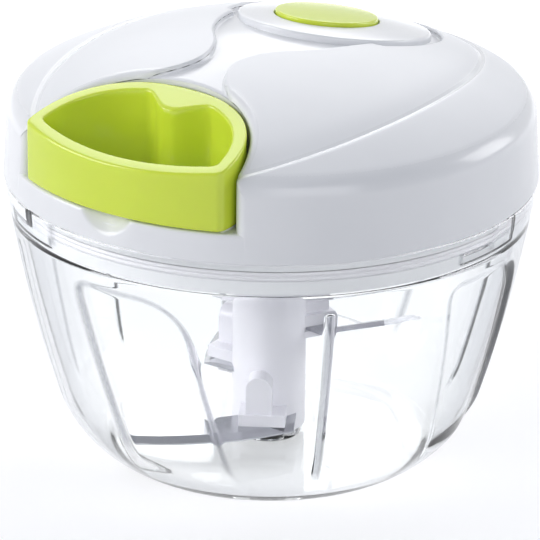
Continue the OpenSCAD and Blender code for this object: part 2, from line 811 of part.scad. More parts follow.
bowl();
pivot_pin();
blade_hub();
lower_blade();
middle_blade();
upper_blade();
seal_ring();
base_plate();
top_cover();
top_inlay();
lid_screws();
reel_spindle();
recoil_spring();
cord_eyelet();
thrust_washer();
spindle_clip();
cord_reel();
spring_cover();
cord_winding();
pawl_pins();
pawl_a();
pawl_b();
clutch_drive();
pull_handle();
pull_cord();
cord_knot();
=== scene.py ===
"""Dresses a pull-string food chopper: a clear bowl with three blades, a domed white lid and a lime handle.

Lengths in the classes are millimetres in the part's own frame: the handle looks along -Y, +Z is up and the
bowl stands on z = 0. Meshes are written in metres.
"""

from __future__ import annotations

import logging
import math
from dataclasses import dataclass
from enum import Enum

import bpy
import numpy as np
from mathutils import Matrix


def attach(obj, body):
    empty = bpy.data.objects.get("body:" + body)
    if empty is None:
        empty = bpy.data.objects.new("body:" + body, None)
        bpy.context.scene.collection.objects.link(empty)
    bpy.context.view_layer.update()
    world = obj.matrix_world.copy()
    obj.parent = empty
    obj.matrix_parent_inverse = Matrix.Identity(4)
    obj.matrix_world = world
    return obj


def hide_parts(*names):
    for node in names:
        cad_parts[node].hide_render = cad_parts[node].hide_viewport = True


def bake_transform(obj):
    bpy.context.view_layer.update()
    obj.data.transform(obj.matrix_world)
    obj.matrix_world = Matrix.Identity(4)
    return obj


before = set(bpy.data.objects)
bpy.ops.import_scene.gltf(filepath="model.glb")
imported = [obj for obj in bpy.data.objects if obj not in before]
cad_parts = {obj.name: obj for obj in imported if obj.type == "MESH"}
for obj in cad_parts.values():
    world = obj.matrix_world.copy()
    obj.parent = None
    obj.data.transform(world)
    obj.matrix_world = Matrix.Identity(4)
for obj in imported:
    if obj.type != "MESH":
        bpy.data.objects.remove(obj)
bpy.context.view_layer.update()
log = logging.getLogger("chopper")

Array = np.ndarray
Pair = tuple[float, float]
MM = 0.001
CELLS_PER_MM = 2000
UP = np.array([0.0, 0.0, 1.0])
DOWN = -UP
LEVEL = np.array([1.0, 1.0, 0.0])
MIRROR = np.array([-1.0, 1.0])
# Gap between a corner's arc and the curve that goes on from it.
SEAM = 0.05
# Sockets of a colour Mix node: its two colours and its result.
MIX_A, MIX_B, MIX_OUT = 6, 7, 2


# Curves and surfaces


def smooth_step(low: float, high: float, value: Array) -> Array:
    """Rises from 0 at low to 1 at high along t * t * (3 - 2 t).

    Args:
        low: Value below which the result is 0.
        high: Value above which the result is 1.
        value: Values to map.

    Returns:
        The mapped values.
    """
    t = np.clip((value - low) / (high - low), 0.0, 1.0)
    return t * t * (3.0 - 2.0 * t)


def window(rise: Pair, fall: Pair, value: Array) -> Array:
    """Rises from 0 to 1 over one range of values and falls back to 0 over another, as smooth steps.

    Args:
        rise: Range that it rises over.
        fall: Range that it falls over.
        value: Values to map.

    Returns:
        The mapped values.
    """
    return smooth_step(*rise, value) * (1.0 - smooth_step(*fall, value))


def stretches(*parts: tuple[float, float, int]) -> Array:
    """Strings even steps together; each part is a first value, a last value and a count."""
    return np.concatenate([np.linspace(*part) for part in parts])


def bend(start: Pair, pull: Pair, end: Pair, count: int) -> Array:
    """Gives a parabola from start to end that leaves and arrives in the direction of the pull point.

    Args:
        start: First point.
        pull: Point that the curve is drawn towards.
        end: Last point.
        count: Number of points.

    Returns:
        Points of shape (count, 2).
    """
    t = np.linspace(0.0, 1.0, count)[:, None]
    return (1 - t) ** 2 * np.array(start) + 2 * t * (1 - t) * np.array(pull) + t**2 * np.array(end)


def arc(centre: Pair, radius: float, start: float, end: float, count: int) -> Array:
    """Gives points of a circle between two angles in degrees from +X.

    Args:
        centre: Centre of the circle.
        radius: Radius.
        start: First angle.
        end: Last angle.
        count: Number of points.

    Returns:
        Points of shape (count, 2).
    """
    turn = np.radians(np.linspace(start, end, count))
    return np.array(centre) + radius * np.stack([np.cos(turn), np.sin(turn)], -1)


def oval(a: float, b: float, y: float, turn: Array, power: float = 2.0) -> Array:
    """Gives points of an ellipse about a place on the Y axis, or of a squarer superellipse.

    Args:
        a: Half width.
        b: Half length.
        y: Place of the middle.
        turn: Angles in radians from +X.
        power: Power of the superellipse; 2 is an ellipse.

    Returns:
        Points of shape (len(turn), 2).
    """
    return np.stack([a * np.cos(turn) ** (2 / power), y + b * np.sin(turn) ** (2 / power)], -1)


def quarter_round(radius: float, count: int) -> Array:
    """Gives a rounded edge as how far it stands in from the side and below the top, from side to top.

    Args:
        radius: Radius of the edge.
        count: Number of steps.

    Returns:
        Rows of inset and drop, of shape (count, 2).
    """
    turn = np.radians(np.linspace(0.0, 90.0, count))
    return radius * np.stack([1 - np.cos(turn), 1 - np.sin(turn)], -1)


def along(curve: Array, share: Array) -> Array:
    """Finds the points that lie at given shares of a curve's length.

    Args:
        curve: Points of the curve, shape (n, k).
        share: Shares of the length from 0 to 1.

    Returns:
        Points of shape (len(share), k).
    """
    step = np.linalg.norm(np.diff(curve, axis=0), axis=1)
    travelled = np.concatenate([[0.0], np.cumsum(step)])
    travelled /= travelled[-1]
    return np.stack([np.interp(share, travelled, curve[:, i]) for i in range(curve.shape[1])], -1)


def evenly(curve: Array, count: int) -> Array:
    """Returns a number of points that lie evenly along a curve."""
    return along(curve, np.linspace(0.0, 1.0, count))


def length_of(curve: Array) -> float:
    """Returns the length of a curve given by its points."""
    return float(np.linalg.norm(np.diff(curve, axis=0), axis=1).sum())


def nearest(points: Array, curve: Array) -> tuple[Array, Array]:
    """Measures from each point to the nearest sample of a finely sampled curve, in blocks to save memory.

    Args:
        points: Points of shape (..., 2).
        curve: Samples of shape (m, 2).

    Returns:
        The distances and the indices of the samples, both of shape (...).
    """
    flat = points.reshape(-1, 2)
    far = np.empty(len(flat))
    index = np.empty(len(flat), int)
    block = 4000
    for first in range(0, len(flat), block):
        part = flat[first:first + block]
        square = ((part[:, None, :] - curve[None, :, :]) ** 2).sum(-1)
        index[first:first + block] = square.argmin(1)
        far[first:first + block] = np.sqrt(square.min(1))
    return far.reshape(points.shape[:-1]), index.reshape(points.shape[:-1])


def crowded(total: float, near_start: Array, near_end: Array, middle: int) -> Array:
    """Gives shares from 0 to 1 that crowd together at given distances from the two ends.

    Args:
        total: Length that the shares are of.
        near_start: Distances from the start, rising from 0.
        near_end: Distances from the end, rising from 0.
        middle: Number of even steps between the two crowds.

    Returns:
        The shares, rising from 0 to 1.
    """
    low, high = near_start / total, 1.0 - near_end[::-1] / total
    between = np.linspace(low[-1], high[0], middle + 1)[1:-1]
    return np.concatenate([low, between, high])


def blended(first: Array, last: Array, front: Array, back: Array, v: Array, u: Array) -> Array:
    """Blends four edge curves into a sheet: ruled both ways, less the sheet that its four corners span.

    Args:
        first: Edge at u = 0, one point for each v.
        last: Edge at u = 1, one point for each v.
        front: Edge at v = 0, one point for each u.
        back: Edge at v = 1, one point for each u.
        v: Shares along the first and last edges.
        u: Shares along the front and back edges.

    Returns:
        Points of shape (len(v), len(u), 2).
    """
    u_, v_ = u[None, :, None], v[:, None, None]
    ruled = (1 - u_) * first[:, None] + u_ * last[:, None] + (1 - v_) * front[None] + v_ * back[None]
    corners = (1 - v_) * ((1 - u_) * front[0] + u_ * front[-1]) + v_ * ((1 - u_) * back[0] + u_ * back[-1])
    return ruled - corners


def eased(line: Array, reach: int) -> Array:
    """Softens a curve by a moving mean over reach samples to each side, with its two ends kept.

    Args:
        line: Evenly spaced samples of shape (n, 2).
        reach: Number of samples to each side.

    Returns:
        Samples of shape (n, 2).
    """
    soft = np.ones(2 * reach + 1) / (2 * reach + 1)
    out = np.stack([np.convolve(np.pad(line[:, i], reach, "edge"), soft, "valid") for i in (0, 1)], -1)
    out[[0, -1]] = line[[0, -1]]
    return out


def mirrored(half: Array) -> Array:
    """Closes a half outline, drawn from one point on the Y axis to another, with its mirror image.

    Args:
        half: Points with x >= 0 whose first and last lie on x = 0.

    Returns:
        The whole outline, without a repeated point.
    """
    return np.concatenate([half, (half * MIRROR)[-2:0:-1]])


@dataclass
class Surface:
    """Points in millimetres, quads that join them, a mark at each point and a chart on each corner."""

    points: Array
    quads: Array
    mark: Array
    chart: Array

    @classmethod
    def grid(
        cls, points: Array, around: bool = False, closed: bool = False, mark: Array | float = 0.0
    ) -> Surface:
        """Joins a grid of points, row by row; the chart is each corner's own row and column.

        Args:
            points: Points of shape (rows, columns, 3).
            around: Whether the last column joins the first.
            closed: Whether the last row joins the first.
            mark: Mark of the points.

        Returns:
            The surface.
        """
        rows, columns = points.shape[:2]
        index = np.arange(rows * columns).reshape(rows, columns)
        if around:
            index = np.concatenate([index, index[:, :1]], 1)
        if closed:
            index = np.concatenate([index, index[:1]], 0)
        row, column = np.meshgrid(np.arange(index.shape[0]), np.arange(index.shape[1]), indexing="ij")
        chart = np.stack([row, column], -1).astype(float)

        def corners(field: Array) -> Array:
            """Gathers the four corners of every cell, going round it."""
            return np.stack([field[:-1, :-1], field[:-1, 1:], field[1:, 1:], field[1:, :-1]], 2)

        quads = corners(index).reshape(-1, 4)
        marks = np.broadcast_to(np.asarray(mark, float), (rows, columns)).reshape(-1)
        return cls(points.reshape(-1, 3), quads, marks, corners(chart).reshape(-1, 4, 2))

    def middles(self) -> Array:
        """Returns the middle of each quad."""
        return self.points[self.quads].mean(1)

    def facing(self, toward: Array) -> Surface:
        """Turns every quad over if most of the area faces away from a direction.

        Args:
            toward: One direction, or one for each quad.

        Returns:
            This surface.
        """
        a, b, c, d = (self.points[self.quads[:, i]] for i in range(4))
        if (np.cross(c - a, d - b) * toward).sum() < 0:
            self.quads = self.quads[:, ::-1]
            self.chart = self.chart[:, ::-1]
        return self

    def away_from(self, inside: Array) -> Surface:
        """Turns the quads so that most of the area faces away from a point, or from one for each quad."""
        return self.facing(self.middles() - inside)

    def from_axis(self, chosen: Array) -> Surface:
        """Turns the quads so that most of the chosen ones face away from the Z axis."""
        return self.facing(self.middles() * LEVEL * chosen[:, None])

    def without(self, gone: Array) -> Surface:
        """Returns the surface without the quads for which gone is true."""
        return Surface(self.points, self.quads[~gone], self.mark, self.chart[~gone])


def joined(*parts: Surface) -> Surface:
    """Puts surfaces together into one.

    Args:
        parts: The surfaces.

    Returns:
        One surface with all their points and quads.
    """
    first = np.cumsum([0] + [len(part.points) for part in parts[:-1]])
    return Surface(
        np.concatenate([part.points for part in parts]),
        np.concatenate([part.quads + start for part, start in zip(parts, first)]),
        np.concatenate([part.mark for part in parts]),
        np.concatenate([part.chart for part in parts]),
    )


def lathe(radius: Array, height: Array, turn: Array) -> Array:
    """Turns a profile round the Z axis; the angle runs from -Y towards +X.

    Args:
        radius: Radii, of shape (rows,) or (rows, columns).
        height: Heights of the same shape.
        turn: Angles of the columns in degrees.

    Returns:
        Points of shape (rows, columns, 3).
    """
    round_ = np.radians(turn)[None, :]
    reach, level = (
        field if field.ndim == 2 else np.repeat(field[:, None], len(turn), 1) for field in (radius, height)
    )
    return np.stack([reach * np.sin(round_), -reach * np.cos(round_), level], -1)


def whole_turn(columns: int, full: float = 360.0) -> Array:
    """Returns evenly spaced angles for a whole turn, in degrees or in the unit of the full turn given."""
    return np.linspace(0.0, full, columns, endpoint=False)


def tube(path: Array, radius: float, sides: int, closed: bool = False) -> Surface:
    """Carries a circle along a path that is never upright, and closes its ends with a cone of no height.

    Args:
        path: Points of shape (n, 3).
        radius: Radius of the circle.
        sides: Number of points on the circle.
        closed: Whether the path ends where it starts.

    Returns:
        The tube.
    """
    ahead = np.gradient(path, axis=0)
    if closed:
        ahead = np.roll(path, -1, 0) - np.roll(path, 1, 0)
    ahead /= np.linalg.norm(ahead, axis=1, keepdims=True)
    side = np.cross(ahead, UP)
    side /= np.linalg.norm(side, axis=1, keepdims=True)
    over = np.cross(side, ahead)
    turn = whole_turn(sides, 2 * np.pi)
    ring = np.cos(turn)[None, :, None] * side[:, None] + np.sin(turn)[None, :, None] * over[:, None]
    skin = path[:, None] + radius * ring
    core = path
    if not closed:
        ends = [np.repeat(path[i][None, None], sides, 1) for i in (0, -1)]
        skin = np.concatenate([ends[0], skin, ends[1]])
        core = np.concatenate([path[:1], path])
    return Surface.grid(skin, around=True, closed=closed).away_from(np.repeat(core, sides, 0))


# Finishes


class Slot(Enum):
    """Material slots of the record, named with each new piece but not read."""

    CLEAR = "clear_plastic"
    WHITE = "white_plastic"
    LIME = "lime_plastic"
    STEEL = "steel"
    SILICONE = "silicone"
    CORD = "cord"


def linear(code: str) -> tuple[float, float, float, float]:
    """Turns an sRGB hex colour into linear light.

    Args:
        code: Colour such as "#C6D93A".

    Returns:
        Red, green, blue and an alpha of 1.
    """
    parts = (int(code[i:i + 2], 16) / 255 for i in (1, 3, 5))
    red, green, blue = (c / 12.92 if c <= 0.04045 else ((c + 0.055) / 1.055) ** 2.4 for c in parts)
    return red, green, blue, 1.0


def pattern(size: float) -> float:
    """Returns the texture scale that gives a pattern of a size in millimetres on Object coordinates."""
    return 1.0 / (size * MM)


def add_node(
    tree: bpy.types.NodeTree, kind: str, inputs: dict[str | int, object] | None = None, **settings: object
) -> bpy.types.Node:
    """Adds a shader node with its settings, and links or sets its inputs.

    Args:
        tree: Node tree.
        kind: Type of node after the words "ShaderNode", such as "TexNoise".
        inputs: Sockets to link, or values to set, by socket name or number.
        settings: Properties of the node.

    Returns:
        The node.
    """
    node = tree.nodes.new("ShaderNode" + kind)
    for key, value in settings.items():
        setattr(node, key, value)
    for key, value in (inputs or {}).items():
        if isinstance(value, bpy.types.NodeSocket):
            tree.links.new(value, node.inputs[key])
        else:
            node.inputs[key].default_value = value
    return node


def seen(tree: bpy.types.NodeTree) -> bpy.types.NodeSocket:
    """Gives a socket that is 1 for camera, glossy and transmission rays and 0 for others.

    Light that a matt surface sends on through the bowl counts as other, so that the white round about
    doesn't light what stands inside it.

    Args:
        tree: Node tree.

    Returns:
        The socket.
    """
    path = add_node(tree, "LightPath").outputs
    shown = path["Is Camera Ray"]
    for ray in ("Is Glossy Ray", "Is Transmission Ray"):
        shown = add_node(tree, "Math", {0: shown, 1: path[ray]}, operation="MAXIMUM").outputs[0]
    direct = add_node(tree, "Math", {0: path["Diffuse Depth"], 1: 0.5}, operation="LESS_THAN").outputs[0]
    return add_node(tree, "Math", {0: shown, 1: direct}, operation="MULTIPLY").outputs[0]


@dataclass(frozen=True)
class Finish:
    """A named surface finish; each kind of finish builds its own nodes."""

    name: str

    def material(self) -> bpy.types.Material:
        """Returns the finish's material, made when it is first asked for."""
        found = bpy.data.materials.get(self.name)
        if found:
            return found
        made = bpy.data.materials.new(self.name)
        made.use_nodes = True
        made.node_tree.nodes.clear()
        add_node(made.node_tree, "OutputMaterial", {"Surface": self.build(made.node_tree)})
        return made

    def build(self, tree: bpy.types.NodeTree) -> bpy.types.NodeSocket:
        """Builds the finish's nodes in an empty tree and returns its shader."""
        raise NotImplementedError


@dataclass(frozen=True)
class ClearMoulding(Finish):
    """Injection-moulded clear styrene: water clear and hard, with painted grey shade where it is edge-on and
    where it steps in thickness.

    The mark is the mesh attribute "satin": 1 on the slanted faces of steps and on ribs.
    """

    tint: str = "#FCFDFD"
    # Painted shade: grey that is mixed in where the surface turns edge-on.
    edge: str = "#C4C7CC"
    # Painted shade: grey on the slanted faces of steps and on ribs.
    step: str = "#B4B7BD"
    edge_from: float = 0.32
    ior: float = 1.3
    milk: float = 0.3
    flow: float = 16.0
    haze: Pair = (0.01, 0.03)
    step_haze: float = 0.12
    wave: float = 0.04

    def build(self, tree: bpy.types.NodeTree) -> bpy.types.NodeSocket:
        """Lets light through, less at steps, paints grey shade on edge-on faces and on steps, and adds the
        melt flow's faint waviness.
        """
        place = add_node(tree, "TexCoord").outputs["Object"]
        noise = {"Vector": place, "Scale": pattern(self.flow), "Detail": 2.0}
        flow = add_node(tree, "TexNoise", noise).outputs["Fac"]
        mark = add_node(tree, "Attribute", attribute_name="satin").outputs["Fac"]
        # Painted shade: the edge grey grows as the surface turns edge-on to the view.
        slant = add_node(tree, "LayerWeight", {"Blend": 0.5}).outputs["Facing"]
        edge_range = {"Value": slant, "From Min": self.edge_from, "From Max": 1.0}
        edge_shade = add_node(tree, "MapRange", edge_range, interpolation_type="SMOOTHSTEP").outputs["Result"]
        colours = {0: edge_shade, MIX_A: linear(self.tint), MIX_B: linear(self.edge)}
        clear = add_node(tree, "Mix", colours, data_type="RGBA").outputs[MIX_OUT]
        # Painted shade: the step grey is mixed in on the marked faces.
        colours = {0: mark, MIX_A: clear, MIX_B: linear(self.step)}
        grey = add_node(tree, "Mix", colours, data_type="RGBA").outputs[MIX_OUT]
        low, high = self.haze
        haze = add_node(tree, "MapRange", {"Value": flow, "To Min": low, "To Max": high}).outputs["Result"]
        dull = add_node(tree, "Math", {0: mark, 1: self.step_haze, 2: haze}, operation="MULTIPLY_ADD")
        # Steps and ribs scatter some light, which gives a clear moulding its milky bands.
        through = add_node(tree, "MapRange", {"Value": mark, "To Min": 1.0, "To Max": 1.0 - self.milk})
        wave = add_node(tree, "Bump", {"Height": flow, "Strength": self.wave, "Distance": 0.3 * MM})
        shader = add_node(
            tree,
            "BsdfPrincipled",
            {
                "Base Color": grey,
                "Transmission Weight": through.outputs["Result"],
                "IOR": self.ior,
                "Roughness": dull.outputs["Value"],
                "Normal": wave.outputs["Normal"],
            },
        )
        return shader.outputs["BSDF"]


@dataclass(frozen=True)
class MouldedPlastic(Finish):
    """Injection-moulded plastic: an even colour, a soft gloss, and a fine spark-eroded grain where marked.

    The mark is the mesh attribute "satin": 0 is polished and 1 is grained.
    """

    colour: str = "#F1F2F4"
    shade: str = "#E9EAED"
    cloud: float = 22.0
    gloss: float = 0.2
    satin: float = 0.42
    patch: float = 0.05
    # Grit of the real grain is about 0.05 mm; it is drawn coarser so that it shows.
    grain: float = 0.35
    grain_depth: Pair = (0.015, 0.16)
    ior: float = 1.53
    translucency: float = 0.0
    glow: str = "#FFFFFF"
    glow_reach: float = 2.5

    def build(self, tree: bpy.types.NodeTree) -> bpy.types.NodeSocket:
        """Mixes two near colours by a slow cloud, and sets roughness and grain by the satin mark."""
        place = add_node(tree, "TexCoord").outputs["Object"]
        noise = {"Vector": place, "Scale": pattern(self.cloud), "Detail": 3.0}
        cloud = add_node(tree, "TexNoise", noise).outputs["Fac"]
        colours = {0: cloud, MIX_A: linear(self.colour), MIX_B: linear(self.shade)}
        colour = add_node(tree, "Mix", colours, data_type="RGBA").outputs[MIX_OUT]
        mark = add_node(tree, "Attribute", attribute_name="satin").outputs["Fac"]
        rough = add_node(tree, "MapRange", {"Value": mark, "To Min": self.gloss, "To Max": self.satin})
        noise = {"Vector": place, "Scale": pattern(self.grain), "Detail": 2.0}
        grit = add_node(tree, "TexNoise", noise).outputs["Fac"]
        patch = add_node(tree, "MapRange", {"Value": grit, "To Min": -self.patch, "To Max": self.patch})
        both = {0: rough.outputs["Result"], 1: patch.outputs["Result"]}
        uneven = add_node(tree, "Math", both, operation="ADD").outputs["Value"]
        low, high = self.grain_depth
        depth = add_node(tree, "MapRange", {"Value": mark, "To Min": low, "To Max": high}).outputs["Result"]
        bump = add_node(tree, "Bump", {"Height": grit, "Strength": depth, "Distance": 0.08 * MM})
        shader = add_node(
            tree,
            "BsdfPrincipled",
            {
                "Base Color": colour,
                "Roughness": uneven,
                "IOR": self.ior,
                "Normal": bump.outputs["Normal"],
                "Subsurface Weight": self.translucency,
                "Subsurface Radius": linear(self.glow)[:3],
                "Subsurface Scale": self.glow_reach * MM,
            },
        )
        return shader.outputs["BSDF"]


@dataclass(frozen=True)
class WorkedMetal(Finish):
    """Steel with fine lines in one direction: ground on the blades, turned or drawn on pins and strip."""

    colour: str
    shade: str
    rough: float
    line: tuple[float, float, float]
    spread: float = 0.14
    depth: float = 0.05

    def build(self, tree: bpy.types.NodeTree) -> bpy.types.NodeSocket:
        """Stretches noise into lines of the given size and lets them vary colour, roughness and bump."""
        place = add_node(tree, "TexCoord").outputs["Object"]
        size = tuple(pattern(width) for width in self.line)
        drawn = add_node(tree, "Mapping", {"Vector": place, "Scale": size}).outputs["Vector"]
        lines = add_node(tree, "TexNoise", {"Vector": drawn, "Scale": 1.0, "Detail": 4.0}).outputs["Fac"]
        colours = {0: lines, MIX_A: linear(self.colour), MIX_B: linear(self.shade)}
        colour = add_node(tree, "Mix", colours, data_type="RGBA").outputs[MIX_OUT]
        low, high = self.rough - self.spread / 2, self.rough + self.spread / 2
        rough = add_node(tree, "MapRange", {"Value": lines, "To Min": low, "To Max": high})
        bump = add_node(tree, "Bump", {"Height": lines, "Strength": 0.1, "Distance": self.depth * MM})
        shader = add_node(
            tree,
            "BsdfPrincipled",
            {
                "Base Color": colour,
                "Metallic": 1.0,
                "Roughness": rough.outputs["Result"],
                "Normal": bump.outputs["Normal"],
            },
        )
        return shader.outputs["BSDF"]


@dataclass(frozen=True)
class BraidedCord(Finish):
    """Braided polyester cord: crossing strands that catch the light, with painted shade darkening the gaps
    between them.
    """

    colour: str = "#F0EFEA"
    # Painted shade: the darker colour of the gaps between strands.
    gap_shade: str = "#A9A79E"
    # Waves for each step of the tube's chart.
    strands: float = 0.16
    rough: float = 0.62
    sheen: float = 0.3
    depth: float = 0.15

    def build(self, tree: bpy.types.NodeTree) -> bpy.types.NodeSocket:
        """Crosses two sets of slanted waves on the tube's own chart, in rings along it and steps round it,
        and paints the low parts between them darker as shade.
        """
        chart = add_node(tree, "UVMap", uv_map="braid").outputs["UV"]
        waves = []
        for slant in (math.pi / 4, -math.pi / 4):
            turned = add_node(tree, "Mapping", {"Vector": chart, "Rotation": (0.0, 0.0, slant)})
            sockets = {"Vector": turned.outputs["Vector"], "Scale": self.strands}
            waves.append(add_node(tree, "TexWave", sockets, wave_profile="SIN").outputs["Fac"])
        strand = add_node(tree, "Math", {0: waves[0], 1: waves[1]}, operation="MAXIMUM").outputs["Value"]
        colours = {0: strand, MIX_A: linear(self.gap_shade), MIX_B: linear(self.colour)}
        colour = add_node(tree, "Mix", colours, data_type="RGBA").outputs[MIX_OUT]
        bump = add_node(tree, "Bump", {"Height": strand, "Strength": 0.5, "Distance": self.depth * MM})
        shader = add_node(
            tree,
            "BsdfPrincipled",
            {
                "Base Color": colour,
                "Roughness": self.rough,
                "Sheen Weight": self.sheen,
                "Normal": bump.outputs["Normal"],
            },
        )
        return shader.outputs["BSDF"]


@dataclass(frozen=True)
class MattPaper(Finish):
    """Matt white paper: it keeps the shadow near the object and fades to plain white away from it."""

    colour: str = "#D6D6D8"
    glow: float = 0.47
    # Distances in metres.
    fade: Pair = (0.15, 0.6)

    def build(self, tree: bpy.types.NodeTree) -> bpy.types.NodeSocket:
        """Adds a glow that only seen rays get, and that grows with the distance from the middle in metres."""
        matt = add_node(tree, "BsdfDiffuse", {"Color": linear(self.colour)})
        place = add_node(tree, "TexCoord").outputs["Object"]
        far = add_node(tree, "VectorMath", {0: place}, operation="LENGTH").outputs["Value"]
        near_end, far_end = self.fade
        reach = {"Value": far, "From Min": near_end, "From Max": far_end, "To Min": self.glow, "To Max": 1.0}
        fade = add_node(tree, "MapRange", reach, interpolation_type="SMOOTHSTEP").outputs["Result"]
        lift = add_node(tree, "Math", {0: seen(tree), 1: fade}, operation="MULTIPLY").outputs[0]
        glow = add_node(tree, "Emission", {"Strength": lift}).outputs["Emission"]
        return add_node(tree, "AddShader", {0: matt.outputs["BSDF"], 1: glow}).outputs["Shader"]


CLEAR_STYRENE = ClearMoulding("clear_styrene_moulded")
WHITE_ABS = MouldedPlastic("white_abs_moulded")
# Painted shade: the same white plastic as the lid, painted a little darker for the light that the clear bowl
# would take, since the bowl casts no shadow here.
HUB_ABS_SHADED = MouldedPlastic("white_abs_hub_shaded", colour="#EDECF2", shade="#E4E3EA", gloss=0.3, satin=0.3)
# Light goes a little way into the lime plastic, so that its thin edges glow.
LIME_ABS = MouldedPlastic(
    "lime_abs_moulded", colour="#DCEC4A", shade="#D4E640", gloss=0.15, translucency=0.25, glow="#D8F060"
)
# Acetal is waxy and duller than ABS.
WHITE_ACETAL = MouldedPlastic(
    "white_acetal_moulded", colour="#E9E8E2", shade="#DFDED8", gloss=0.34, satin=0.4
)
DARK_ACETAL = MouldedPlastic("dark_acetal_moulded", colour="#3A3B3E", shade="#313235", gloss=0.36, satin=0.4)
# Silicone is soft and dull, and lets some light in.
SILICONE = MouldedPlastic(
    "pale_silicone_moulded", colour="#F0EFF3", shade="#E8E7ED", gloss=0.45, translucency=0.25, glow="#F0F0F4"
)
BLADE_STEEL = WorkedMetal(
    "ground_blade_steel", colour="#C4C5CA", shade="#AEAFB5", rough=0.24, spread=0.1, line=(14.0, 14.0, 0.35)
)
TURNED_STEEL = WorkedMetal(
    "turned_steel", colour="#BFC0C3", shade="#A4A5A9", rough=0.26, line=(10.0, 10.0, 0.25)
)
SPRING_STEEL = WorkedMetal(
    "blued_spring_steel", colour="#7E8794", shade="#5F6875", rough=0.3, line=(9.0, 9.0, 0.3)
)
WHITE_CORD = BraidedCord("braided_polyester")
PAPER = MattPaper("matt_white_paper")


# Pieces


def mesh_of(name: str, surface: Surface, crease: float) -> bpy.types.Mesh:
    """Merges a surface's doubled points, drops the quads that this closes up, and writes the mesh.

    A quad with one closed-up edge becomes a triangle.

    Args:
        name: Name of the mesh.
        surface: The surface.
        crease: Angle in degrees above which an edge stays sharp.

    Returns:
        The mesh, in metres.
    """
    cells = np.round(surface.points * CELLS_PER_MM).astype(np.int64)
    _, first, back = np.unique(cells, axis=0, return_index=True, return_inverse=True)
    quads = back.reshape(-1)[surface.quads]
    shut = quads == np.roll(quads, -1, 1)
    crossed = (quads[:, 0] == quads[:, 2]) | (quads[:, 1] == quads[:, 3])
    whole = ~shut.any(1) & ~crossed
    faces = quads[whole].tolist()
    charts = [surface.chart[whole].reshape(-1, 2)]
    for edge in range(4):
        keep = [i for i in range(4) if i != (edge + 1) % 4]
        single = shut[:, edge] & (shut.sum(1) == 1) & ~crossed
        faces += quads[single][:, keep].tolist()
        charts.append(surface.chart[single][:, keep].reshape(-1, 2))
    mesh = bpy.data.meshes.new(name)
    mesh.from_pydata((surface.points[first] * MM).tolist(), [], faces)
    satin = mesh.attributes.new("satin", "FLOAT", "POINT")
    satin.data.foreach_set("value", surface.mark[first].astype(np.float32))
    braid = mesh.uv_layers.new(name="braid")
    braid.data.foreach_set("uv", np.concatenate(charts).reshape(-1).astype(np.float32))
    mesh.polygons.foreach_set("use_smooth", np.ones(len(faces), bool))
    mesh.set_sharp_from_angle(angle=math.radians(crease))
    mesh.update()
    return mesh


@dataclass
class Assembly:
    """A group of pieces that ride on one body."""

    body: str

    def piece(
        self,
        name: str,
        surface: Surface,
        finish: Finish,
        slot: Slot,
        node: str,
        crease: float = 40.0,
        rides: bool = True,
    ) -> bpy.types.Object:
        """Makes a piece that rides on this body and stands for a CAD node.

        Args:
            name: Name of the piece.
            surface: Its surface.
            finish: Its finish.
            slot: Record slot of the piece; not used.
            node: CAD node that it replaces.
            crease: Angle in degrees above which an edge stays sharp.
            rides: False for a piece that gets no single body.

        Returns:
            The new object.
        """
        mesh = mesh_of(name, surface, crease)
        mesh.materials.append(finish.material())
        made = bpy.data.objects.new(name, mesh)
        bpy.context.scene.collection.objects.link(made)
        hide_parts(node)
        if rides:
            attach(made, self.body)
        log.info("piece %s: %d faces, for %s", name, len(mesh.polygons), node)
        return made

    @staticmethod
    def dress(finish: Finish, *nodes: str) -> None:
        """Gives CAD nodes a finish and leaves their meshes as they are.

        Args:
            finish: The finish.
            nodes: Names of the nodes.
        """
        for name in nodes:
            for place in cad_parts[name].material_slots:
                place.material = finish.material()
            log.info("node %s: %s", name, finish.name)


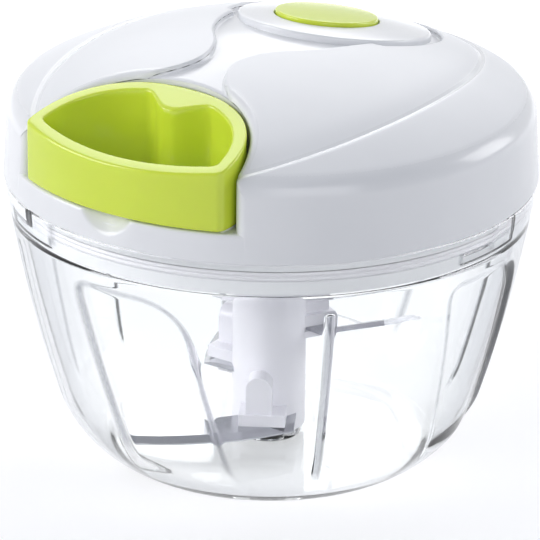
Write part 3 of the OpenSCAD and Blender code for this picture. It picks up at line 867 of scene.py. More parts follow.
@dataclass
class Bowl(Assembly):
    """The clear bowl: a turned wall with four sunk petals outside, four fine ribs inside and a pivot boss."""

    body: str = "bowl"
    arc_x: float = 23.855
    arc_z: float = 24.722
    arc_r: float = 28.0
    arc_top_z: float = 16.536
    arc_top_r: float = 50.631
    rim_r: float = 62.3
    rim_z: float = 68.4
    belly: float = 1.05
    wall: float = 2.4
    dish_r: float = 31.2
    dish_h: float = 1.0
    floor_z: float = 2.8
    ledge_z: float = 60.2
    bore_r: float = 59.4
    boss_z: float = 5.0
    pin_hole_r: float = 3.05
    pin_hole_z: float = 1.6
    petal_d: float = 0.9
    petal_soft: float = 2.6
    petal_turn: float = 3.0
    petal_low: float = 7.0
    petal_full: float = 13.0
    petal_top: float = 57.7
    rib_h: float = 0.5
    rib_w: float = 1.9
    rib_turn: float = 50.0
    rib_foot: Pair = (8.0, 12.0)
    rib_head: Pair = (54.4, 55.2)
    slot_d: float = 1.2
    lug_turn: float = -23.0
    run_turns: tuple[Pair, Pair] = ((-16.0, -15.2), (4.2, 5.0))
    run_heights: tuple[Pair, Pair] = ((61.5, 62.0), (63.8, 64.2))
    entry_turns: tuple[Pair, Pair] = ((-5.2, -4.4), (4.4, 5.2))
    entry_heights: Pair = (62.6, 63.2)
    mark_heights: Pair = (10.0, 16.0)

    def turns(self) -> Array:
        """Angles of the columns: close together at the petals' edges and the ribs, wide apart elsewhere.

        Returns:
            Angles in degrees for a whole turn.
        """
        marks = (-15.5, -7.0, 2.0, 28.0, 44.5, 49.5, 74.5)
        counts = (17, 8, 52, 12, 12, 18)
        quarter = np.concatenate(
            [np.linspace(a, b, n, endpoint=False) for a, b, n in zip(marks[:-1], marks[1:], counts)]
        )
        return (self.petal_turn + quarter[None, :] + 90.0 * np.arange(4)[:, None]).reshape(-1)

    def wall_r(self, z: Array) -> Array:
        """Outer radius: a circle's arc at the foot, then a cone with a slight parabolic belly.

        Args:
            z: Heights.

        Returns:
            Radii.
        """
        low = self.arc_x + np.sqrt(np.maximum(self.arc_r**2 - (self.arc_z - z) ** 2, 0.0))
        t = np.clip((z - self.arc_top_z) / (self.rim_z - self.arc_top_z), 0.0, 1.0)
        high = self.arc_top_r + (self.rim_r - self.arc_top_r) * t + 4 * self.belly * t * (1 - t)
        return np.where(z < self.arc_top_z, low, high)

    def petal_line(self) -> Array:
        """Returns a petal's outline, seen from outside, as fine samples of sideways place and height."""
        top, low = self.petal_top, self.petal_low
        right = bend((17.23, 46.0), (15.5, top), (2.5, top), 40)
        left = bend((-9.5, top), (-15.5, top), (-14.64, 51.7), 30)
        return evenly(np.concatenate([[(20.84, low)], right, left, [(-6.44, low)]]), 700)

    def petals(self, turn: Array, z: Array) -> Array:
        """How far the petals sink the wall: full inside their outline, with a soft edge and a faded foot.

        Args:
            turn: Angles in degrees.
            z: Heights of the same shape.

        Returns:
            Depths in millimetres.
        """
        line = self.petal_line()
        top = int(line[:, 1].argmax())
        depth = np.zeros_like(z)
        for quarter in range(4):
            off = (turn - self.petal_turn - 90.0 * quarter + 180.0) % 360.0 - 180.0
            side = self.wall_r(z) * np.sin(np.radians(np.clip(off, -45.0, 45.0)))
            far, _ = nearest(np.stack([side, z], -1), line)
            right = np.interp(z, line[:top + 1, 1], line[:top + 1, 0])
            left = np.interp(z, line[:top:-1, 1], line[:top:-1, 0])
            inside = (side < right) & (side > left) & (z < self.petal_top)
            depth += np.where(inside, smooth_step(0.0, self.petal_soft, far), 0.0)
        return self.petal_d * np.clip(depth, 0.0, 1.0) * smooth_step(self.petal_low, self.petal_full, z)

    def ribs(self, turn: Array, z: Array) -> Array:
        """How far the ribs stand in from the inner wall: a rounded ridge that fades at both ends.

        Args:
            turn: Angles in degrees.
            z: Heights of the same shape.

        Returns:
            Heights of the ridge in millimetres.
        """
        off = ((turn - self.rib_turn + 45.0) % 90.0 - 45.0) * np.radians(1.0) * self.wall_r(z)
        ridge = 1.0 - smooth_step(self.rib_w * 0.3, self.rib_w * 0.6, np.abs(off))
        return self.rib_h * ridge * window(self.rib_foot, self.rib_head, z)

    def slots(self, turn: Array, z: Array) -> Array:
        """How far the three bayonet slots cut into the bore: an entry from the rim and a run beside it.

        Args:
            turn: Angles in degrees.
            z: Heights of the same shape.

        Returns:
            Depths in millimetres.
        """
        off = (turn - self.lug_turn + 60.0) % 120.0 - 60.0
        run = window(*self.run_turns, off) * window(*self.run_heights, z)
        entry = window(*self.entry_turns, off) * smooth_step(*self.entry_heights, z)
        return self.slot_d * np.maximum(run, entry)

    def profile(self) -> dict[str, Array]:
        """Draws the closed profile in named stretches, from the foot's middle over the rim to the floor's.

        Returns:
            Points of radius and height for each stretch.
        """
        dish = np.linspace(0.0, self.dish_r, 14)
        outer_z = stretches((0.2, 16.0, 16), (17.2, 43.6, 18), (44.2, 58.2, 36), (58.8, 67.9, 9))
        bore_z = np.linspace(68.0, 60.5, 20)
        inner_z = stretches((60.0, 56.0, 4), (55.3, 54.2, 5), (53.0, 16.5, 22), (15.6, 2.95, 16))
        floor_r = np.linspace(38.2, 8.6, 9)
        top, hole, deep = self.boss_z, self.pin_hole_r, self.pin_hole_z
        return {
            "foot": np.concatenate(
                [
                    np.stack([dish, self.dish_h - self.dish_h * (dish / self.dish_r) ** 2], -1),
                    [(32.0, 0.0), (34.0, 0.0), (36.4, 0.0), (36.8, 0.02), (37.05, 0.08)],
                ]
            ),
            "outer": np.stack([self.wall_r(outer_z), outer_z], -1),
            "rim": np.array(
                [(62.22, 68.2), (62.0, 68.36), (61.7, self.rim_z), (60.0, self.rim_z), (59.7, 68.36),
                 (59.5, 68.2)]
            ),
            "bore": np.stack([np.full_like(bore_z, self.bore_r), bore_z], -1),
            "ledge": np.array([(59.35, 60.26), (59.1, self.ledge_z), (58.85, 60.18)]),
            "inner": np.stack([self.wall_r(inner_z) - self.wall, inner_z], -1),
            "floor": np.stack([floor_r, np.full_like(floor_r, self.floor_z)], -1),
            "boss": np.array(
                [(7.9, 2.86), (7.5, 3.1), (6.8, 4.6), (6.6, 4.9), (6.2, top), (3.5, top), (3.15, 4.9),
                 (hole, 4.6), (hole, 1.7), (2.9, deep), (0.0, deep)]
            ),
        }

    def surface(self) -> Surface:
        """Turns the profile round the axis, and moves its three walls by the petals, slots and ribs.

        Returns:
            The bowl's surface.
        """
        stretch = self.profile()
        profile = np.concatenate(list(stretch.values()))
        kind = np.repeat(list(stretch), [len(part) for part in stretch.values()])
        turns = self.turns()
        z = np.repeat(profile[:, 1:], len(turns), 1)
        r = np.repeat(profile[:, :1], len(turns), 1)
        turn = np.repeat(turns[None, :], len(profile), 0)
        mark = np.zeros_like(r)
        forms = {
            "outer": (-1.0, self.petals, self.petal_d),
            "bore": (1.0, self.slots, self.slot_d),
            "inner": (-1.0, self.ribs, self.rib_h),
        }
        for wall, (sign, form, deep) in forms.items():
            row = kind == wall
            depth = form(turn[row], z[row])
            r[row] += sign * depth
            share = np.clip(depth / deep, 0.0, 1.0)
            # The mark peaks on the slant of each petal and slot step and covers the ribs; the clear finish
            # paints grey shade there.
            slanted = 4.0 * share * (1.0 - share) * smooth_step(*self.mark_heights, z[row])
            mark[row] = share if wall == "inner" else slanted
        skin = Surface.grid(lathe(r, z, turns), around=True, mark=mark)
        return skin.from_axis(np.repeat(kind[:-1] == "outer", len(turns)))

    def build(self) -> None:
        """Makes the bowl and dresses its pin."""
        bowl = self.piece("bowl_shell", self.surface(), CLEAR_STYRENE, Slot.CLEAR, "bowl", crease=60.0)
        # Light reaches what is inside the clear wall straight, since no caustics are traced.
        bowl.visible_shadow = False
        self.dress(TURNED_STEEL, "pivot_pin")


@dataclass
class Cover(Assembly):
    """The lid's outer cover: a dome with two grained wings, sunk spine, oval boss and handle pocket."""

    body: str = "lid"
    lid_r: float = 62.5
    top_r: float = 61.6
    low_z: float = 68.9
    inner_r: float = 60.4
    dome_r: float = 130.0
    dome_z: float = -27.3
    fillet: float = 6.0
    fillet_r: float = 55.6
    fillet_z: float = 83.536
    meet_r: float = 58.29
    spine_d: float = 1.6
    spine_soft: float = 0.5
    spine_mouth: Pair = (17.8, -35.5)
    spine_waist: Pair = (11.3, -7.5)
    spine_hip: Pair = (19.9, 11.5)
    neck: float = 4.2
    oval_a: float = 22.6
    oval_b: float = 23.0
    oval_y: float = 24.5
    oval_gap: float = 2.6
    oval_edge: float = 0.55
    inlay_a: float = 11.8
    inlay_b: float = 12.6
    inlay_y: float = 21.3
    inlay_h: float = 0.9
    inlay_low: float = -1.4
    inlay_edge: float = 0.5
    inlay_gap: float = 0.35
    seat_d: float = 1.45
    seat_edge: float = 0.3
    wing_a: float = 44.7
    wing_b: float = 62.0
    wing_y: float = -4.0
    wing_front: Pair = (-57.0, -46.0)
    groove_w: float = 1.2
    groove_run: float = 7.0
    groove_d: float = 0.55
    pocket_a: float = 28.5
    pocket_b: float = 24.7
    pocket_y: float = -55.0
    pocket_power: float = 2.2
    pocket_z: float = 75.4
    pocket_edge: float = 0.7
    corner: float = 2.4
    lip: float = 1.5
    lip_start: float = 0.11
    satin_gap: float = 1.2
    satin_end: Pair = (57.5, 60.0)
    scoop_r: float = 10.0
    scoop_y: float = -67.5
    scoop_z: float = 79.6
    rail_x: float = 26.2
    rail_w: float = 0.95
    rail_y: float = -54.4
    rail_length: float = 7.8
    rail_z: float = 75.88
    rail_sink: float = 0.2
    eyelet_z: float = 86.38
    eyelet_hole: float = 3.2
    eyelet_wall: Pair = (-32.0, -25.0)
    seal_r: float = 58.8
    seal_in: float = 58.15
    seal_low: float = 63.8
    seal_h: float = 2.2
    seal_lip: float = 0.28

    def dome(self, x: Array, y: Array) -> Array:
        """Height of the plain dome: a sphere, then the shoulder's rounding where it meets the side wall.

        Args:
            x: Places across.
            y: Places along.

        Returns:
            Heights.
        """
        r = np.hypot(x, y)
        crown = self.dome_z + np.sqrt(self.dome_r**2 - np.minimum(r, self.meet_r) ** 2)
        drop = np.clip(r - self.fillet_r, 0.0, self.fillet)
        return np.where(r < self.meet_r, crown, self.fillet_z + np.sqrt(self.fillet**2 - drop**2))

    def pocket_half(self) -> Array:
        """Right half of the pocket's outline, from the front corner on the wall to the back's middle.

        A round corner leads from the wall's circle to a superellipse.

        Returns:
            Fine samples of shape (n, 2).
        """
        middle_x = self.pocket_a + self.corner
        middle_y = -math.sqrt((self.top_r - self.corner) ** 2 - middle_x**2)
        front = math.degrees(math.atan2(middle_y, middle_x))
        corner = arc((middle_x, middle_y), self.corner, front, -180.0, 60)
        turn = np.linspace(0.0, np.pi / 2, 500)
        side = oval(self.pocket_a, self.pocket_b, self.pocket_y, turn, self.pocket_power)
        side = side[side[:, 1] > middle_y + SEAM]
        return eased(evenly(np.concatenate([corner, side]), 900), 8)

    def spine_half(self) -> Array:
        """Right edge of the sunk spine, from the pocket's lip past the neck and round the boss to its back.

        Returns:
            Fine samples of shape (n, 2).
        """
        a, b = self.oval_a + self.oval_gap, self.oval_b + self.oval_gap
        start = math.degrees(math.asin((self.spine_hip[1] - self.oval_y) / b))
        line = np.concatenate(
            [
                bend(self.spine_mouth, (self.neck, -28.5), (self.neck, -20.5), 60),
                bend((self.neck, -20.0), (self.neck + 0.6, -14.0), self.spine_waist, 40),
                bend((11.6, -7.2), (16.7, -1.6), self.spine_hip, 60),
                oval(a, b, self.oval_y, np.radians(np.linspace(start + 2.0, 90.0, 200))),
            ]
        )
        line = eased(evenly(line, 1200), 12)
        pocket = self.pocket_half()
        outside = line[:, 1] > np.interp(line[:, 0], pocket[::-1, 0], pocket[::-1, 1])
        return evenly(line[int(np.argmax(outside)):], 1200)

    def wing_half(self) -> Array:
        """Right outer line of the wings: an ellipse from the pocket's corner to the middle of the back.

        Returns:
            Fine samples of shape (n, 2), the first on the pocket's outline.
        """
        line = oval(self.wing_a, self.wing_b, self.wing_y, np.linspace(-np.pi / 2, np.pi / 2, 4000))
        low, high = self.wing_front
        line = line[line[:, 1] > low]
        pocket = self.pocket_half()
        far, at = nearest(line, pocket)
        first = int(np.argmin(np.where(line[:, 1] < high, far, np.inf)))
        return evenly(np.concatenate([pocket[at[first]][None], line[first + 1:]]), 1200)

    def height(self, place: Array, spine_side: float, wing_side: float) -> tuple[Array, Array]:
        """Height of the cover's top and its satin mark.

        The dome, less a quarter round at the pocket's lip, less the spine's depth behind a short soft step,
        less a groove on the wings' outer line that falls slowly on the wing, by a parabola, and rises shortly
        outside it.

        Args:
            place: Points of shape (..., 2) on the right half or mirrored onto it.
            spine_side: 1 outside the spine, -1 inside it.
            wing_side: 1 outside the wings' outer line, -1 inside it.

        Returns:
            Heights and marks of shape (...).
        """
        x, y = place[..., 0], place[..., 1]
        folded = np.stack([np.abs(x), y], -1)
        pocket = self.pocket_half()
        to_lip, at = nearest(folded, pocket)
        lip = self.lip * self.lip_share(len(pocket))[at]
        inset = np.clip(lip - to_lip, 0.0, None)
        drop = lip - np.sqrt(np.maximum(lip**2 - inset**2, 0.0))
        to_spine, _ = nearest(folded, self.spine_half())
        step = 1.0 - smooth_step(-self.spine_soft, self.spine_soft, spine_side * to_spine)
        to_wing, _ = nearest(folded, self.wing_half())
        line = np.clip(1.0 - to_wing / self.groove_w, 0.0, 1.0)
        groove = line if wing_side > 0 else np.clip(1.0 - to_wing / self.groove_run, 0.0, 1.0) ** 2
        level = self.dome(x, y) - drop - self.spine_d * step - self.groove_d * groove
        satin = (1.0 - step) * (1.0 - np.clip(line * 2, 0, 1))
        satin = satin * smooth_step(self.lip, self.lip + self.satin_gap, to_lip)
        return level, satin * (1.0 - smooth_step(*self.satin_end, np.hypot(x, y)))

    def lip_share(self, count: int) -> Array:
        """Returns the lip's share of its rounding along the pocket's outline: none on the wall, then full."""
        return smooth_step(0.0, self.lip_start, np.linspace(0.0, 1.0, count))

    def top(self) -> list[Surface]:
        """Lays five patches over the top: two wings, two crescents outside them, and the spine.

        A wing blends four edge curves: wing line, spine edge, pocket lip and the middle of the back. A
        crescent blends the wing line, the wall's circle, the pocket's corner and the back. The spine is ruled
        between its two edges, eased at the lip. Rows and columns crowd together at the patches' edges.

        Returns:
            The patches.
        """
        lip = np.array([0.0, 0.02, 0.07, 0.16, 0.3, 0.5, 0.75, 1.05, 1.4, 1.9, 2.6])
        shoulder = self.fillet * (1.0 - np.cos(np.radians(np.linspace(0.0, 70.0, 13))))
        step = np.array([0.0, 0.05, 0.1, 0.15, 0.2, 0.26, 0.34, 0.5, 0.8, 1.3])
        line = np.array([0.0, 0.07, 0.15, 0.3, 0.5, 0.7, 0.85, 1.0, 1.3, 2.0])
        wing_width, crescent_width, spine_width = 24.0, 17.0, 30.0
        spine, wing, pocket = self.spine_half(), self.wing_half(), self.pocket_half()
        meet = int(np.argmin(np.hypot(*(pocket - spine[0]).T)))
        start = int(np.argmin(np.hypot(*(pocket - wing[0]).T)))
        v = crowded(length_of(spine), lip, np.array([0.0]), 190)
        inner, outer = along(spine, v), along(wing, v)

        u = crowded(wing_width, line, step, 22)
        front = along(np.concatenate([pocket[start:meet], spine[:1]]), u)
        back = wing[-1] + u[:, None] * (spine[-1] - wing[-1])
        wing_plan = blended(outer, inner, front, back, v, u)

        t = crowded(crescent_width, line, shoulder, 14)
        wall_turn = np.interp(v, [0.0, 1.0], [math.atan2(pocket[0, 1], pocket[0, 0]), np.pi / 2])
        wall = self.top_r * np.stack([np.cos(wall_turn), np.sin(wall_turn)], -1)
        corner = along(pocket[start::-1], t)
        rear = wing[-1] + t[:, None] * (wall[-1] - wing[-1])
        crescent_plan = blended(outer, wall, corner, rear, v, t)

        s = crowded(spine_width, step, step, 40)
        lip_back = along(np.concatenate([pocket[meet:], (pocket[meet:] * MIRROR)[::-1][1:]]), s)
        lip_back[[0, -1]] = spine[0], spine[0] * MIRROR
        straight = inner[0] + s[:, None] * (inner[0] * MIRROR - inner[0])
        s_ = s[None, :, None]
        ease = (1 - np.linspace(0.0, 1.0, len(v))[:, None, None] ** 0.5) * (lip_back - straight)[None]
        spine_plan = (1 - s_) * inner[:, None] + s_ * (inner * MIRROR)[:, None] + ease

        patches = []
        for plan, spine_side, wing_side in (
            (wing_plan, 1.0, -1.0),
            (wing_plan * MIRROR, 1.0, -1.0),
            (crescent_plan, 1.0, 1.0),
            (crescent_plan * MIRROR, 1.0, 1.0),
            (spine_plan, -1.0, -1.0),
        ):
            level, satin = self.height(plan, spine_side, wing_side)
            patch = Surface.grid(np.concatenate([plan, level[..., None]], -1), mark=satin)
            patches.append(patch.facing(UP))
        return patches

    def walls(self) -> Surface:
        """Carries the side wall round the outer circle, the pocket's corners and the pocket itself.

        Each column drops from the cover's top edge to the wall's foot; the outer part leans out by its draft.

        Returns:
            The wall, with a hole for the cord's bush.
        """
        pocket = self.pocket_half()
        front = math.degrees(math.atan2(pocket[0, 1], pocket[0, 0]))
        circle = arc((0.0, 0.0), self.top_r, 90.0, front, 400)[:-1]
        loop = mirrored(np.concatenate([circle, pocket]))
        share = np.concatenate([np.zeros(len(circle)), self.lip_share(len(pocket))])
        share = np.concatenate([share, share[-2:0:-1]])
        top = self.dome(loop[:, 0], loop[:, 1]) - self.lip * share
        t = np.concatenate([[0.0, 0.02, 0.06], np.linspace(0.12, 1.0, 26)])[:, None]
        level = top * (1 - t) + self.low_z * t
        draft = (self.lid_r - self.top_r) * (self.fillet_z - level) / (self.fillet_z - self.low_z)
        reach = 1.0 + draft * (1 - share) / np.hypot(loop[:, 0], loop[:, 1])
        skin = Surface.grid(np.stack([loop[:, 0] * reach, loop[:, 1] * reach, level], -1), around=True)
        x, y, z = skin.middles().T
        skin.from_axis(np.hypot(x, y) > self.top_r - 0.2)
        low, high = self.eyelet_wall
        return skin.without((np.hypot(x, z - self.eyelet_z) < self.eyelet_hole) & (low < y) & (y < high))

    def pocket_floor(self) -> Surface:
        """Runs each column up the low front wall, over its rounded edge and back along the pocket's floor.

        The floor is the lower of a plane and the ball-shaped finger scoop.

        Returns:
            The front wall and floor.
        """
        u = np.linspace(-1.0, 1.0, 140)[None, :]
        pocket = self.pocket_half()
        back_x = u[0] * (self.pocket_a - 0.15)
        back_y = np.interp(np.abs(back_x), pocket[::-1, 0], pocket[::-1, 1]) + 0.2
        climb = (self.pocket_z - self.low_z) / (self.fillet_z - self.low_z)
        low_r, edge_r = self.lid_r, self.lid_r - (self.lid_r - self.top_r) * climb
        turn = np.arcsin(np.clip(u * pocket[0, 0] / self.top_r, -1, 1))
        rise = np.linspace(0.0, 1.0, 8)[:, None]
        lane = np.concatenate([[0.004, 0.012, 0.025, 0.045], np.linspace(0.07, 1.0, 46)])[:, None]
        reach = np.concatenate([low_r + (edge_r - low_r) * rise, np.full_like(lane, edge_r)])
        lane = np.concatenate([np.zeros_like(rise), lane])
        x0, y0 = reach * np.sin(turn), -reach * np.cos(turn)
        x, y = x0 + lane * (back_x - x0), y0 + lane * (back_y - y0)
        from_scoop = y - self.scoop_y
        ball = self.scoop_z - np.sqrt(np.maximum(self.scoop_r**2 - x**2 - from_scoop**2, 0.0))
        floor = np.minimum(self.pocket_z, np.where(np.hypot(x, from_scoop) < self.scoop_r, ball, np.inf))
        edge = self.pocket_edge
        inset = np.clip(edge - np.hypot(x - x0, y - y0), 0.0, None)
        level = floor - (edge - np.sqrt(np.maximum(edge**2 - inset**2, 0.0)))
        front = len(rise)
        level[:front] = self.low_z + (level[front - 1:front] - self.low_z) * rise
        return Surface.grid(np.stack([x, y, level], -1)).facing(np.array([0.0, -1.0, 1.0]))

    def ellipses(self, rows: list[tuple[float, ...]], mark: float = 0.0) -> Surface:
        """Carries rows of half width, half length, centre and height over the dome round an ellipse.

        Args:
            rows: Rows of (half width, half length, centre y, height above the dome).
            mark: Satin mark.

        Returns:
            The surface.
        """
        a, b, middle, above = np.array(rows).T[..., None]
        turn = whole_turn(200, 2 * np.pi)[None, :]
        x, y = a * np.cos(turn), middle + b * np.sin(turn)
        return Surface.grid(np.stack([x, y, self.dome(x, y) + above], -1), around=True, mark=mark)

    def boss(self) -> Surface:
        """Grows ellipses from the boss's foot over its rounded edge to the inlay's sunk seat, on the dome.

        Returns:
            The boss.
        """
        a, b, y = self.oval_a, self.oval_b, self.oval_y
        seat_a, seat_b, seat_y = self.inlay_a + self.inlay_gap, self.inlay_b + self.inlay_gap, self.inlay_y
        rows = [(a + 0.12, b + 0.12, y, -self.spine_d - 0.25)]
        rows += [(a - inset, b - inset, y, -drop) for inset, drop in quarter_round(self.oval_edge, 7)]
        outside = np.array([a - 1.0, b - 1.0, y, 0.0])
        brink = np.array([seat_a + 0.4, seat_b + 0.4, seat_y, 0.0])
        rows += [tuple(outside + (brink - outside) * k) for k in np.linspace(0.05, 1.0, 12)]
        seat_edge = quarter_round(self.seat_edge, 7)
        rows += [(seat_a + wide, seat_b + wide, seat_y, -drop) for drop, wide in seat_edge]
        rows += [(seat_a, seat_b, seat_y, -self.seat_d), (0.0, 0.0, seat_y, -self.seat_d)]
        return self.ellipses(rows).facing(UP)

    def inlay(self) -> Surface:
        """Grows ellipses from the inlay's underside up its side, over a rounded edge and in to its middle.

        Returns:
            The inlay.
        """
        a, b, y, low, h = self.inlay_a, self.inlay_b, self.inlay_y, self.inlay_low, self.inlay_h
        rows = [(0.0, 0.0, y, low), (a - 0.1, b - 0.1, y, low), (a, b, y, low + 0.2)]
        rows += [(a - inset, b - inset, y, h - drop) for inset, drop in quarter_round(self.inlay_edge, 8)]
        rows += [((a - 0.6) * k, (b - 0.6) * k, y, h) for k in (0.97, 0.85, 0.7, 0.5, 0.3, 0.12, 0.0)]
        return self.ellipses(rows, mark=0.15).away_from(np.array([0.0, y, float(self.dome(0.0, y))]))

    def foot(self) -> Surface:
        """Turns the wall's underside and a short way up its inner face.

        Returns:
            The foot.
        """
        outer, inner, low = self.lid_r, self.inner_r, self.low_z
        radius = np.array([outer, outer - 0.2, inner + 0.2, inner, inner - 0.05])
        height = np.array([low, low, low, low + 0.2, low + 4.0])
        return Surface.grid(lathe(radius, height, whole_turn(360)), around=True).facing(DOWN)

    def rails(self) -> Surface:
        """Carries an arch along the two short rails that the handle rests on.

        Returns:
            Both rails.
        """
        arch = np.linspace(-np.pi / 2, np.pi / 2, 12)
        reach = np.concatenate([[0.0], np.linspace(0.0, 1.0, 9), [1.0]])[:, None]
        thick = np.concatenate([[0.0], np.ones(9), [0.0]])[:, None]
        low = self.pocket_z - self.rail_sink
        level = low + (self.rail_z - low) * np.sqrt(np.abs(np.cos(arch)))[None] * thick
        lengthwise = self.rail_y + self.rail_length * np.repeat(reach, len(arch), 1)
        across = thick * self.rail_w * np.sin(arch)[None]
        return joined(
            *(
                Surface.grid(np.stack([x + across, lengthwise, level], -1)).facing(UP)
                for x in (-self.rail_x, self.rail_x)
            )
        )

    def bush(self) -> Surface:
        """Turns the cord's flanged bush about its own axis along Y.

        Returns:
            The bush.
        """
        rows = np.array(
            [(1.35, -27.3), (1.35, -29.8), (1.5, -30.3), (1.8, -30.55), (2.4, -30.62), (3.5, -30.55),
             (3.9, -30.4), (4.0, -30.2), (3.9, -29.9), (2.95, -29.8), (2.95, -27.4), (2.8, -27.3)]
        )
        core_r, core_y = 2.2, -28.8
        turn = whole_turn(64, 2 * np.pi)

        def ring(r: Array, y: Array) -> Array:
            """Gives rings of points round the bush's axis."""
            return np.stack([r * np.cos(turn), y + 0 * turn, self.eyelet_z + r * np.sin(turn)], -1)

        skin = Surface.grid(ring(rows[:, :1], rows[:, 1:]), around=True, closed=True)
        return skin.away_from(np.tile(ring(core_r, core_y), (len(rows), 1)))

    def seal(self) -> Surface:
        """Turns the sealing ring with two rounded lips on its outer face.

        Returns:
            The ring.
        """
        low, high = self.seal_low, self.seal_low + self.seal_h
        z = np.linspace(low, high, 17)
        lips = self.seal_r + self.seal_lip * np.abs(np.sin(2 * np.pi * (z - low) / self.seal_h))
        radius = np.concatenate([[self.seal_in], lips, [self.seal_in]])
        height = np.concatenate([[low + 0.05], z, [high - 0.05]])
        skin = Surface.grid(lathe(radius, height, whole_turn(300)), around=True, closed=True)
        return skin.from_axis(np.hypot(*skin.middles()[:, :2].T) > self.seal_r - 0.1)

    def build(self) -> None:
        """Makes the cover, inlay, bush and seal, and dresses the rest of the lid."""
        shell = joined(*self.top(), self.walls(), self.pocket_floor(), self.boss(), self.foot(), self.rails())
        self.piece("lid_cover", shell, WHITE_ABS, Slot.WHITE, "top_cover", crease=80.0)
        self.piece("lid_inlay", self.inlay(), LIME_ABS, Slot.LIME, "top_inlay")
        self.piece("cord_bush", self.bush(), TURNED_STEEL, Slot.STEEL, "cord_eyelet")
        Assembly("seal").piece("lid_seal", self.seal(), SILICONE, Slot.SILICONE, "seal_ring")
        self.dress(WHITE_ABS, "base_plate")
        self.dress(TURNED_STEEL, "lid_screws", "reel_spindle", "thrust_washer", "spindle_clip")
        self.dress(SPRING_STEEL, "recoil_spring")


@dataclass
class Handle(Assembly):
    """The lime pull handle: a D-shaped ring with a sloping top and a boss for the cord inside its back."""

    body: str = "handle"
    a: float = 27.8
    b: float = 24.0
    middle_y: float = -55.0
    power: float = 2.2
    front_r: float = 62.3
    wall: float = 3.2
    outer_corner: float = 2.0
    inner_corner: float = 1.6
    low_z: float = 75.9
    front_y: float = -62.5
    front_z: float = 87.9
    slope: float = 9.0 / 31.5
    top_edge: float = 0.5
    low_edge: float = 0.5
    boss_reach: float = 5.5
    boss_side: Pair = (0.6, 9.6)
    boss_from: float = 12.0

    def top_z(self, y: Array) -> Array:
        """Returns the height of the sloping top at places along Y."""
        return self.front_z + (y - self.front_y) * self.slope

    def outline(self, inset: float, corner: float) -> Array:
        """Outline of the ring, moved in: the lid's circle in front, a round corner, then a superellipse.

        Args:
            inset: How far it is moved in.
            corner: Radius of the corner.

        Returns:
            Points of the closed outline, from the front's middle.
        """
        a, b, r = self.a - inset, self.b - inset, self.front_r - inset
        middle = (a - corner, -math.sqrt((r - corner) ** 2 - (a - corner) ** 2))
        tangent = math.degrees(math.atan2(middle[1], middle[0]))
        side = oval(a, b, self.middle_y, np.linspace(0.0, np.pi / 2, 600), self.power)
        half = np.concatenate(
            [
                arc((0.0, 0.0), r, -90.0, tangent, 60),
                arc(middle, corner, tangent, 0.0, 30)[1:],
                side[side[:, 1] > middle[1] + SEAM],
            ]
        )
        return mirrored(evenly(half, 230))

    def section(self) -> Array:
        """Draws the ring's rounded upright section, up its outer side, over its top and down its inner side.

        Returns:
            Rows of place in from the outer side, share of the height and millimetres above that.
        """
        t = self.wall
        top, low = quarter_round(self.top_edge, 7), quarter_round(self.low_edge, 7)
        up = np.linspace(0.0, 1.0, 12)
        shift = self.low_edge * (1 - up) - self.top_edge * up
        rows = [(0.0, share, above) for share, above in zip(up, shift)]
        rows += [(inset, 1.0, -drop) for inset, drop in top[1:]]
        rows += [(t - inset, 1.0, -drop) for drop, inset in top]
        rows += [(t, share, above) for share, above in zip(up[-2::-1], shift[-2::-1])]
        rows += [(t - inset, 0.0, drop) for inset, drop in low[1:]]
        rows += [(inset, 0.0, drop) for drop, inset in low[:-1]]
        return np.array(rows)

    def ring(self) -> Surface:
        """Carries the section along the ring; each point lies between its outer and its inner outline.

        The cord's boss is a smooth swelling of the inner outline at the middle of the back.

        Returns:
            The ring.
        """
        outer = self.outline(0.0, self.outer_corner)
        inner = self.outline(self.wall, self.inner_corner)
        swell = self.boss_reach * (1.0 - smooth_step(*self.boss_side, np.abs(inner[:, 0])))
        inner[:, 1] -= np.where(inner[:, 1] > self.middle_y + self.boss_from, swell, 0.0)
        inward, share, above = self.section().T[..., None]
        plan = outer[None] + (inner - outer)[None] * (inward / self.wall)[..., None]
        level = self.low_z * (1 - share) + self.top_z(plan[..., 1]) * share + above
        skin = Surface.grid(np.concatenate([plan, level[..., None]], -1), around=True, closed=True)
        core = np.tile((outer + inner) / 2, (len(inward), 1))
        return skin.facing((skin.middles() - np.pad(core, ((0, 0), (0, 1)))) * LEVEL)

    def build(self) -> None:
        """Makes the handle."""
        self.piece("handle_ring", self.ring(), LIME_ABS, Slot.LIME, "pull_handle")


